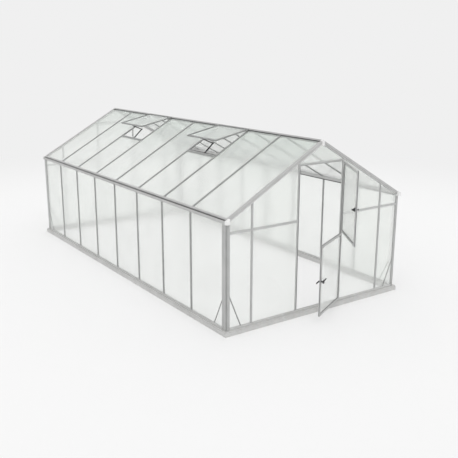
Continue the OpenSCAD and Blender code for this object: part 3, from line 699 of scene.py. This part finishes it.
def ribs_group():
    """Lines of the ribs inside a hollow sheet, counted along Across, with a slight haze."""
    group, given, made = shader_group("hollow_sheet_ribs", (
        ("Position", VECTOR, (0, 0, 0)), ("Across", VECTOR, X)),
        (("Rib", NUMBER), ("Haze", NUMBER), ("Height", NUMBER)))
    run = vector_node(group, "DOT_PRODUCT", given["Position"], given["Across"])
    part = math_node(group, "PINGPONG", math_node(group, "DIVIDE", run, RIB_PITCH), 0.5)
    rib = range_node(group, part, 0.05, 0.13, 1.0, 0.0)
    give(group, made, {"Rib": rib, "Haze": noise_node(group, given["Position"], 2.6, 4.0),
                       "Height": math_node(group, "SUBTRACT", 1.0, rib)})
    return group


sheet_ribs = ribs_group()


def mixed_surface(tree, factor, first, second, output="Material Output"):
    """The first shader where factor is 0 and the second where it is 1."""
    both = new_node(tree, "MixShader", {0: factor, 1: first.outputs[0], 2: second.outputs[0]})
    give(tree, tree.nodes[output], {"Surface": both.outputs[0]})


def hollow_sheet(name, across, shade=1.0, blur=0.22, top_tint=WHITE):
    """Milky sheet that lets light and soft shapes through, deeper in colour at the top."""
    material, tree, shader, place = new_material(name)
    made = new_node(tree, "Group", {"Position": place, "Across": tuple(across)},
                    node_tree=sheet_ribs).outputs
    tint = colour_mix(tree, made["Rib"], SHEET_TINT, RIB_TINT)
    hazed = range_node(tree, made["Haze"], 0.3, 0.7, 0.97 * shade, shade)
    upper = range_node(tree, axes_of(tree, place)["Z"], SHADE_FROM, SHADE_TO, 0.0, 1.0)
    deepened = vector_node(tree, "MULTIPLY", tint, colour_mix(tree, upper, WHITE, top_tint))
    give(tree, shader, {
        "Base Color": vector_node(tree, "SCALE", deepened, Scale=hazed),
        "Roughness": range_node(tree, made["Haze"], 0.3, 0.7, blur, 0.7 * blur),
        "Normal": bump(tree, made["Height"], 0.1, 0.0001),
        "Transmission Weight": 0.85, "IOR": 1.18})
    clear = new_node(tree, "BsdfTransparent", {"Color": WHITE})
    path = new_node(tree, "LightPath", {}).outputs
    lighting = math_node(tree, "MAXIMUM", path["Is Shadow Ray"], path["Is Diffuse Ray"])
    mixed_surface(tree, lighting, shader, clear)
    return material


roof_sheet = hollow_sheet("roof_sheet", Y, ROOF_SHADE, ROOF_BLUR, ROOF_TOP_TINT)
finish_nodes(hollow_sheet("side_sheet", Y), "wall_sheets_left", "wall_sheets_right")
finish_nodes(roof_sheet, "roof_sheets_left", "roof_sheets_right", "vent_sheets")
finish_nodes(hollow_sheet("gable_sheet", X), "gable_sheets_front", "gable_sheets_back")

# Rubber seals along the inner foot of the eave beams, over the tops of the wall sheets
EAVE_DEPTH, EAVE_START, EAVE_SEAL = 0.040, 0.045, 0.0120
EAVE_SECTION = ((-0.0005, 0.0005), (-0.0005, EAVE_SEAL), (0.0022, EAVE_SEAL - 0.001),
                (0.0030, EAVE_SEAL / 2), (0.0022, 0.0012))
eave_seal = drawn_strip("eave_seal", [(wall_x + EAVE_DEPTH + out, EAVE_START, gutter_low.z + up)
                                      for out, up in EAVE_SECTION],
                        (0, back_y - 2 * EAVE_START, 0))
fasten(copies("eave_seals", eave_seal, SIDES), black_rubber)

# ---- Roof vents ----
# Two aluminium sashes hung under the ridge cover and held open by black jointed stays, each
# over a sill that carries the roof sheet below. Rubber beads seal their sheets.

SASH_GREY = (0.33, 0.335, 0.33)
FITTING_BLACK = (0.022, 0.022, 0.023)
SASH_LONG, SASH_BAR, SASH_THICK, SASH_LAP = 0.600, 0.024, 0.018, 0.011
SHEET_THICK, BEAD_BAND, BEAD_THICK, SUNK = 0.010, 0.005, 0.0035, 0.0003
VENT_FALL = math.radians(12)
ROLLS = (-0.30, -0.10, 0.10, 0.30)

black_plastic = plastic("black_plastic", FITTING_BLACK, 0.42)
sash_metal = profile_metal("sash_metal", SASH_GREY, slope_left)
finish_nodes(sash_metal, "vent_sashes")
finish_nodes(profile_metal("vent_sill_metal", SASH_GREY, Y), "vent_sills")
finish_nodes(black_plastic, "vent_stays")


def roof_z(x):
    return ridge_z - abs(x) * math.tan(roof_pitch)


sash_wide = bar_pitch + 2 * SASH_LAP
vent_hinge_x = -cover_high.x - SUNK
vent_hinge_z = roof_z(vent_hinge_x) + SUNK
vent_middles = [sum(bay_ends(bay)) / 2 for bay in VENT_BAYS]
vent_turn = Matrix.Rotation(-VENT_FALL, 4, "Y")
# On an open sash: -X down the sash from its hinge, +Z out of its top face
on_sashes = [at(vent_hinge_x, middle, vent_hinge_z) @ vent_turn for middle in vent_middles]


def ring(name, long, wide, band, thick):
    """Flat ring around a rectangle, its underside on z = 0."""
    piece = start_piece(name, bpy.ops.mesh.primitive_plane_add, size=1)
    piece.scale = (long, wide, 1)
    settle()
    edit_all()
    bpy.ops.mesh.inset(thickness=band)
    bpy.ops.mesh.delete(type="FACE")
    bpy.ops.mesh.select_all(action="SELECT")
    pull((0, 0, thick))
    close_up()
    return piece


def fasten_to_sashes(name, pattern, places, material):
    fasten(copies(name, pattern, [sash @ place for sash in on_sashes for place in places]),
           material)


sheet_face = (SASH_THICK + SHEET_THICK) / 2
sash_bead = ring("sash_bead", SASH_LONG - 2 * SASH_BAR + 0.001, sash_wide - 2 * SASH_BAR + 0.001,
                 BEAD_BAND, BEAD_THICK)
bead_places = [at(-SASH_LONG / 2, 0, height) for height in
               (sheet_face - SUNK, SASH_THICK - sheet_face + SUNK - BEAD_THICK)]
fasten_to_sashes("sash_glazing_beads", sash_bead, bead_places, black_rubber)

KEY_LEG, KEY_WIDE, KEY_THICK = 0.046, 0.019, 0.0012


def corner_key(name):
    """L-shaped plate with three rivets, its outer corner at the origin, legs along +X and +Y."""
    inner = KEY_WIDE - 0.003
    outline = [(0, 0), (KEY_LEG, 0), (KEY_LEG, inner), (inner + 0.002, inner),
               (inner, inner + 0.002), (inner, KEY_LEG), (0, KEY_LEG)]
    plate = drawn_strip(name, [(across, up, -SUNK) for across, up in outline],
                        (0, 0, KEY_THICK + SUNK))
    rivet = turned("rivet", [(0, -0.0002), (0.0030, -0.0002), (0.0027, 0.0007),
                             (0.0014, 0.0013), (0, 0.0014)], 10)
    half, far = inner / 2, KEY_LEG - 0.008
    rivets = copies("rivets", rivet, [at(half, half, KEY_THICK), at(far, half, KEY_THICK),
                                      at(half, far, KEY_THICK)])
    return joined(name, [plate, rivets])


def key_places(long, wide):
    """The four corners of a flat frame around the origin, each leg towards the middle."""
    return [Matrix.Scale(flip_x, 4, X) @ Matrix.Scale(flip_y, 4, Y)
            @ at(-long / 2 + 0.003, -wide / 2 + 0.003, 0)
            for flip_x in (1, -1) for flip_y in (1, -1)]


top_middle = at(-SASH_LONG / 2 - 0.0025, 0, SASH_THICK)
fasten_to_sashes("sash_corner_keys", corner_key("corner_key"),
                 [top_middle @ place for place in key_places(SASH_LONG, sash_wide)], sash_metal)

hinge_roll = turned("hinge_roll", [(0, -0.030), (0.0040, -0.030), (0.0045, -0.029),
                                   (0.0045, 0.029), (0.0040, 0.030), (0, 0.030)], 16)
across_pin = Matrix.Rotation(math.pi / 2, 4, "X")
fasten_to_sashes("vent_hinge_rolls", put(hinge_roll, across_pin),
                 [at(-0.001, roll, SASH_THICK - 0.0042) for roll in ROLLS], sash_metal)

STAY_THICK, STAY_RUN, ELBOW_RISE, STAY_SHIFT = 0.016, 0.152, 0.041, 0.060
FOOT_DROP, ARM_SIDE = 0.012, 0.0058
foot_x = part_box("vent_sills")[1].x + SUNK + STAY_THICK / 2
elbow_x = foot_x + STAY_RUN
stay_foot = Vector((foot_x, 0, roof_z(foot_x) - FOOT_DROP))
stay_elbow = Vector((elbow_x, 0, roof_z(elbow_x) + ELBOW_RISE))
arm_reach, arm_drop = SASH_LONG - SASH_BAR / 2, SUNK + STAY_THICK / 2
stay_head = Vector((
    vent_hinge_x - arm_reach * math.cos(VENT_FALL) + arm_drop * math.sin(VENT_FALL), 0,
    vent_hinge_z - arm_reach * math.sin(VENT_FALL) - arm_drop * math.cos(VENT_FALL)))


def stay_arm(name, start, end, high, thick, aside=0.0):
    """Flat arm with round ends between two pivots of the X-Z plane."""
    along = (end - start).normalized()
    square = Vector((-along.z, 0, along.x))
    round_end = [along * (high / 2 * math.sin(turn)) + square * (high / 2 * math.cos(turn))
                 for turn in (math.pi * step / 6 for step in range(7))]
    aside = Vector((0, aside - thick / 2, 0))
    outline = [end + aside + corner for corner in round_end]
    outline += [start + aside - corner for corner in round_end]
    return eased(drawn_strip(name, outline, (0, thick, 0)), 0.0008, 2, 50)


def rounded_block(name, low, high, radius):
    """Block between two corners with its edges rounded."""
    low, high = Vector(low), Vector(high)
    piece = start_piece(name, bpy.ops.mesh.primitive_cube_add, size=1, location=(low + high) / 2)
    piece.scale = high - low
    bevel_all(radius)
    return piece


pivot = [(0, -0.0115), (0.0062, -0.0115), (0.0072, -0.0105), (0.0072, -0.0085),
         (0.0105, -0.0085), (0.0105, 0.0085), (0.0072, 0.0085), (0.0072, 0.0105),
         (0.0062, 0.0115), (0, 0.0115)]
stay_pieces = [stay_arm("lower_arm", stay_foot, stay_elbow, 0.014, 0.0045, side * ARM_SIDE)
               for side in (-1, 1)]
stay_pieces.append(stay_arm("upper_arm", stay_elbow, stay_head, 0.015, 0.0068))
for point, size in ((stay_foot, 0.78), (stay_elbow, 1.0), (stay_head, 0.78)):
    stay_pieces.append(put(turned("pivot", pivot, 20),
                           at(*point) @ across_pin @ Matrix.Diagonal((size, size, 1, 1))))
foot_block = ((-0.0078, -0.013, -0.0085), (-0.0040, 0.013, 0.0085))
head_block = ((-0.011, -0.012, 0.0040), (0.011, 0.012, 0.0082))
stay_pieces += [put(rounded_block("foot_block", *foot_block, 0.0008), at(*stay_foot)),
                put(rounded_block("head_block", *head_block, 0.0008), at(*stay_head) @ vent_turn)]
vent_stays = copies("jointed_stays", joined("stay", stay_pieces),
                    [at(0, middle - STAY_SHIFT, 0) for middle in vent_middles])
fasten(vent_stays, black_plastic)
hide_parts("vent_stays")

# ---- Corner braces ----
# Flat aluminium strips screwed across the foot of each corner, on the sheets' outer faces,
# from the post's edge down to the sill.

BRACE_GREY = (0.24, 0.245, 0.24)
GABLE_BRACE, SIDE_BRACE = (0.228, 0.421), (0.272, 0.368)
BRACE_IN, BRACE_DOWN, BRACE_UP = 0.0012, 0.022, 0.009
POST_EDGE_Y = 0.091

finish_nodes(profile_metal("brace_metal", BRACE_GREY, Z), "corner_braces")

post_edge_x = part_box("end_sills")[0].x
top_gap, foot_z = sill_top - BRACE_DOWN, sill_top + BRACE_UP
brace_screws = [
    facing((post_edge_x + 0.006, BRACE_IN, top_gap + GABLE_BRACE[1]), (0, -1, 0)),
    facing((wall_x + GABLE_BRACE[0] - 0.011, BRACE_IN, foot_z), (0, -1, 0)),
    facing((wall_x + BRACE_IN, POST_EDGE_Y + 0.007, top_gap + SIDE_BRACE[1]), (-1, 0, 0)),
    facing((wall_x + BRACE_IN, SIDE_BRACE[0] - 0.012, foot_z), (-1, 0, 0))]
fasten(copies("brace_screws", pan_screw(), at_corners(brace_screws)), bolt_steel)

# ---- Door ----
# Two aluminium-framed leaves, one above the other, hung on the right-hand jamb. Each has a
# hollow sheet in rubber beads; the lower one has a lever handle and the upper one a latch.

LEAF_GREY = (0.50, 0.505, 0.50)
SEAL_GREY = (0.11, 0.11, 0.11)
# Painted light: the leaves' sheets are tinted a little lighter than the other sheets of the same
# kind
LEAF_PAINTED_LIGHT = 1.04
LEAF_WIDE, LEAF_BAR, LEAF_THICK = 0.744, 0.030, 0.020
LEAF_BEAD, LEAF_BEAD_HIGH = 0.003, 0.0040
KNUCKLE, KNUCKLE_HIGH, PLATE_THICK = 0.007, 0.025, 0.0033
SMALL = Matrix.Scale(0.72, 4)

leaf_metal = profile_metal("leaf_metal", LEAF_GREY, Z)
grey_rubber = plastic("grey_rubber", SEAL_GREY, 0.6)
joints = {joint["name"]: joint for joint in frame["joints"]}


def turn_of(leaf):
    """Turn from the closed leaf to the leaf at rest."""
    joint = joints[leaf + "_leaf_hinge"]
    hinge = Vector(joint["pos_m"])
    angle = -math.radians(joint["range_deg"][0])
    return at(*hinge) @ Matrix.Rotation(angle, 4, "Z") @ at(*-hinge)


for leaf in ("lower", "upper"):
    across = turn_of(leaf).to_3x3() @ Vector(X)
    finish_nodes(hollow_sheet(leaf + "_leaf_hollow_sheet", across, LEAF_PAINTED_LIGHT),
                 leaf + "_leaf_sheet")
    finish_nodes(leaf_metal, leaf + "_leaf_frame", leaf + "_leaf_hinges")
finish_nodes(leaf_metal, "jamb_hinges")
finish_nodes(black_plastic, "lower_handles", "upper_latch")

pin_x, pin_y = joints["lower_leaf_hinge"]["pos_m"][:2]
leaf_face = pin_y - KNUCKLE
leaf_back = leaf_face + LEAF_THICK
sheet_sunk = (LEAF_THICK - SHEET_THICK) / 2


def leaf_faces(x, z):
    """Places on the outer and the inner face of a closed leaf, +Z pointing out of each."""
    outward = Matrix.Rotation(math.pi / 2, 4, "X")
    return [at(x, leaf_face, z) @ outward, at(x, leaf_back, z) @ outward.inverted()]


def on_leaf(piece, leaf, material):
    """Turns a piece made on the closed leaf to where the leaf stands, and rides it there."""
    put(piece, turn_of(leaf))
    fasten(piece, material, leaf + "_leaf")


def knuckle_levels(leaf):
    """Feet of the leaf's lower and upper hinge knuckle."""
    low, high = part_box(leaf + "_leaf_hinges")
    return low.z, high.z - KNUCKLE_HIGH


def pin_cap(heights):
    """Domed cap on the end of a hinge pin, from the heights of its rings."""
    rings = zip((0.0066, 0.0050, 0.0022, 0), heights)
    return turned("pin_cap", [(0, -SUNK), (0.0066, -SUNK), *rings], 20)


# Section of the rubber lip along a leaf's edge, as (across, up) points
EDGE_SEAL = ((0, -0.0005), (0, 0.0012), (0.0020, 0.0024), (0.0050, 0.0024), (0.0070, 0.0012),
             (0.0070, -0.0005))
for leaf, out in (("lower", 1), ("upper", -1)):
    foot, top = (corner.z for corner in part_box(leaf + "_leaf_frame"))
    high = top - foot
    faces = leaf_faces(0, (foot + top) / 2)

    bead = ring("bead", LEAF_WIDE - 2 * LEAF_BAR + 0.001, high - 2 * LEAF_BAR + 0.001,
                LEAF_BEAD, LEAF_BEAD_HIGH)
    beads = copies(leaf + "_leaf_glazing_beads", bead,
                   [face @ at(0, 0, -sheet_sunk - SUNK) for face in faces])
    on_leaf(beads, leaf, grey_rubber)

    keys = copies(leaf + "_leaf_corner_keys", corner_key("corner_key"),
                  [face @ place for face in faces for place in key_places(LEAF_WIDE, high)])
    on_leaf(keys, leaf, leaf_metal)

    edge, run = leaf_face + 0.005, LEAF_WIDE - 0.004
    level = top if leaf == "lower" else foot
    meeting_seal = drawn_strip("meeting_seal", [(-run / 2, edge + across, level + out * up)
                                                for across, up in EDGE_SEAL], (run, 0, 0))
    lock_seal = drawn_strip("lock_seal", [(-LEAF_WIDE / 2 - up * 0.6, edge + across, foot + 0.002)
                                          for across, up in EDGE_SEAL], (0, 0, high - 0.004))
    on_leaf(joined(leaf + "_leaf_seals", [meeting_seal, lock_seal]), leaf, grey_rubber)

    screws = [facing((pin_x - away, leaf_face - PLATE_THICK, knuckle + up), (0, -1, 0))
              for knuckle in knuckle_levels(leaf) for away in (0.0225, 0.0145)
              for up in (0.0065, 0.0185)]
    on_leaf(copies(leaf + "_hinge_screws", put(pan_screw(), SMALL), screws), leaf, bolt_steel)
    tops = [at(pin_x, pin_y, knuckle + KNUCKLE_HIGH) for knuckle in knuckle_levels(leaf)]
    on_leaf(copies(leaf + "_hinge_caps", pin_cap((0.0012, 0.0030, 0.0040, 0.0042)), tops),
            leaf, bolt_steel)

pin_feet = [at(pin_x, pin_y, knuckle - KNUCKLE_HIGH - SUNK) @ Matrix.Scale(-1, 4, Z)
            for leaf in ("lower", "upper") for knuckle in knuckle_levels(leaf)]
fasten(copies("jamb_hinge_caps", pin_cap((0.0010, 0.0026, 0.0034, 0.0036)), pin_feet), bolt_steel)

# Rubber seals on the jambs and the head rail; the one beside the hinges is shorter
JAMB_SEAL = ((0.0015, 0.0004), (0.0015, -0.0022), (0.0030, -0.0034), (0.0062, -0.0034),
             (0.0078, -0.0022), (0.0078, 0.0004))
HEAD_SEAL = ((0.001, 0.0004), (0.001, -0.0015), (0.0035, -0.0015), (0.0035, 0.0004))
open_x = jamb_low.x + JAMB_WIDE
head_foot = head_rail_z - RAIL_HIGH / 2


def jamb_seal(start, end):
    return drawn_strip("jamb_seal", [(open_x - across, out, sill_top + start)
                                     for across, out in JAMB_SEAL],
                       (0, 0, head_foot - sill_top - end))


head_seal = drawn_strip("head_seal", [(open_x - 0.0015, out, head_foot + across)
                                      for across, out in HEAD_SEAL], (-2 * open_x + 0.003, 0, 0))
doorway_seals = [jamb_seal(0.012, 0.014), put(jamb_seal(0.16, 0.30), MIRROR_X), head_seal]
fasten(joined("doorway_seals", doorway_seals), grey_rubber)

# Ribbed strip on the threshold
TREAD_START, TREAD_STEP, TREADS = 0.0035, 0.0036, 5
tread = [(TREAD_START, -0.0004)]
for rise in range(TREADS):
    start = TREAD_START + rise * TREAD_STEP
    half = start + TREAD_STEP / 2
    tread += [(start, 0.0016), (half, 0.0016), (half, 0.0010), (start + TREAD_STEP, 0.0010)]
tread[-1] = (half, -0.0004)
threshold = drawn_strip("threshold_strip", [(open_x + 0.001, across, sill_top + up)
                                            for across, up in tread], (-2 * open_x - 0.002, 0, 0))
fasten(threshold, across_metal)

# Lever handle outside and a hanging pull inside, on the lower leaf's free upright
ROSE = 0.012
LEVER_ROUND, NECK_FOOT, NECK_LONG, LEVER_BEND = 0.0095, 0.007, 0.028, 0.0150
PULL_WIDE = 0.013
HANGING = ((0.010, 0), (0.011, 0.007), (0.046, 0.041), (0.040, 0.048), (0.028, 0.047),
           (-0.010, 0.010), (-0.010, 0))
TAPERED = ((0.028, 0), (0.0056, 0.046), (-0.0056, 0.046), (-0.028, 0))
handle_x = -(LEAF_WIDE - LEAF_BAR) / 2
handle_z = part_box("lower_handles")[1].z - ROSE
latch_z = sum(corner.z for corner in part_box("upper_latch")) / 2


def lever():
    """Round lever that leaves its neck square to the leaf and turns towards the hinge."""
    piece = start_piece("lever", bpy.ops.mesh.primitive_circle_add, vertices=16,
                        radius=LEVER_ROUND, fill_type="NGON", location=(0, 0, NECK_FOOT))
    settle()
    edit_all()
    pull((0, 0, NECK_LONG))
    bpy.ops.mesh.spin(steps=7, angle=math.pi / 2, center=(LEVER_BEND, 0, NECK_FOOT + NECK_LONG),
                      axis=Y)
    for reach, drop, slim in ((0.018, 0, 1.0), (0.030, 0.0008, 0.98), (0.032, 0.0014, 0.98),
                              (0.028, 0.0012, 0.97), (0.010, 0.0004, 0.92), (0.005, 0, 0.80),
                              (0.003, 0, 0.60)):
        pull((reach, 0, -drop))
        bpy.ops.transform.resize(value=(slim, slim, slim))
    close_up(40)
    return piece


def rose():
    return turned("rose", [(0, -0.0004), (ROSE, -0.0004), (ROSE, 0.0050), (ROSE - 0.0012, 0.0068),
                           (ROSE - 0.0036, 0.0076), (0, 0.0078)], 28)


def inner_pull(outline):
    strip = drawn_strip("inner_pull", [(-PULL_WIDE / 2, down, out) for down, out in outline],
                        (PULL_WIDE, 0, 0))
    return eased(strip, 0.0022, 3, 30, 40)


outside, inside = leaf_faces(handle_x, handle_z)
hub = turned("hub", [(0, 0.0225), (0.0190, 0.0225), (0.0225, 0.0255), (0.0235, 0.0310),
                     (0.0225, 0.0365), (0.0190, 0.0395), (0, 0.0395)], 28)
handle = joined("lever_handle", [put(rose(), outside), put(lever(), outside), put(hub, outside),
                                 put(rose(), inside), put(inner_pull(HANGING), inside)])
on_leaf(handle, "lower", black_plastic)
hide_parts("lower_handles")

# Latch of the upper leaf: a small knob outside and a tapered pull inside
outside, inside = leaf_faces(handle_x, latch_z)
knob = turned("knob", [(0, -0.0004), (0.0098, -0.0004), (0.0098, 0.0022), (0.0085, 0.0032),
                       (0.0056, 0.0040), (0.0052, 0.0095), (0.0078, 0.0120), (0.0096, 0.0145),
                       (0.0100, 0.0180), (0.0088, 0.0212), (0.0060, 0.0230), (0, 0.0232)], 28)
plate = rounded_block("plate", (-0.009, -0.031, -0.0004), (0.009, 0.031, 0.0030), 0.0009)
latch = joined("upper_leaf_latch", [put(knob, outside), put(plate, inside),
                                    put(inner_pull(TAPERED), inside)])
on_leaf(latch, "upper", black_plastic)
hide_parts("upper_latch")

# Keepers of the lock and the latch on the free jamb, each a plate with a lip and two screws
keeper = joined("keeper", [
    rounded_block("keeper_plate", (-0.009, -0.030, -0.0003), (0.009, 0.030, 0.0014), 0.0006),
    rounded_block("keeper_lip", (-0.009, -0.012, 0.0008), (-0.0068, 0.012, 0.0042), 0.0006),
    *[put(pan_screw(), at(0, end, 0.0013) @ SMALL) for end in (-0.023, 0.023)]])
on_jamb = Matrix(((0, 0, 1), (1, 0, 0), (0, 1, 0))).to_4x4()
keepers = [at(open_x, 0.012, height) @ on_jamb for height in (handle_z, latch_z)]
fasten(copies("lock_keepers", keeper, keepers), bolt_steel)

# ---- Floor, light and camera ----
# A plain pale floor that runs out to the backdrop, even light from all round with one soft
# sun, and the camera. None of them belongs to the building.

BACKDROP = (0.871, 0.871, 0.871)
FLOOR_PALE = (0.845, 0.845, 0.845)
PAINT_MIDDLE, PAINT_TO, BACKDROP_FROM = (0, 3, 0), 5.0, 13.0

floor = start_piece("floor", bpy.ops.mesh.primitive_plane_add, size=160, location=(0, 20, 0))
settle()
floor_paint, tree, shader, place = new_material("floor_paint")
give(tree, shader, {"Base Color": FLOOR_PALE, "Roughness": 0.9, "Specular IOR Level": 0.0})
even = new_node(tree, "Emission", {"Color": BACKDROP})
away = vector_node(tree, "DISTANCE", place, PAINT_MIDDLE)
mixed_surface(tree, range_node(tree, away, PAINT_TO, BACKDROP_FROM, 0.0, 1.0), shader, even)
floor.data.materials.append(floor_paint)

world = bpy.data.worlds.new("studio")
bpy.context.scene.world = world
world.use_nodes = True
tree = world.node_tree
lit = tree.nodes["Background"]
give(tree, lit, {"Color": WHITE, "Strength": 0.88})
seen = new_node(tree, "Background", {"Color": BACKDROP})
path = new_node(tree, "LightPath", {}).outputs
shown = math_node(tree, "MAXIMUM", path["Is Camera Ray"],
                  math_node(tree, "MAXIMUM", path["Is Glossy Ray"], path["Is Transmission Ray"]))
mixed_surface(tree, shown, lit, seen, "World Output")

bpy.ops.object.light_add(type="SUN", location=(-6, -5, 9),
                         rotation=(math.radians(32), math.radians(-28), 0))
key = bpy.context.object
key.name = "key_light"
key.data.energy = 1.0
key.data.angle = math.radians(70)

# Camera well above head height, off the left front corner
YAW, PITCH, ROLL = math.radians(34.96), math.radians(-14.80), math.radians(-0.13)
FRAME_WIDE, LENS, SENSOR = 458, 667.8, 36
bpy.ops.object.camera_add(location=(-5.8447, -6.2723, 3.3901))
camera = bpy.context.object
camera.name = "camera"
camera.rotation_mode = "QUATERNION"
look = (Matrix.Rotation(-YAW, 3, "Z") @ Matrix.Rotation(math.pi / 2 + PITCH, 3, "X")
        @ Matrix.Rotation(-ROLL, 3, "Z"))
camera.rotation_quaternion = look.to_quaternion()
camera.data.sensor_width = SENSOR
camera.data.lens = LENS * SENSOR / FRAME_WIDE
bpy.context.scene.camera = camera
bpy.context.scene.view_settings.view_transform = "Standard"
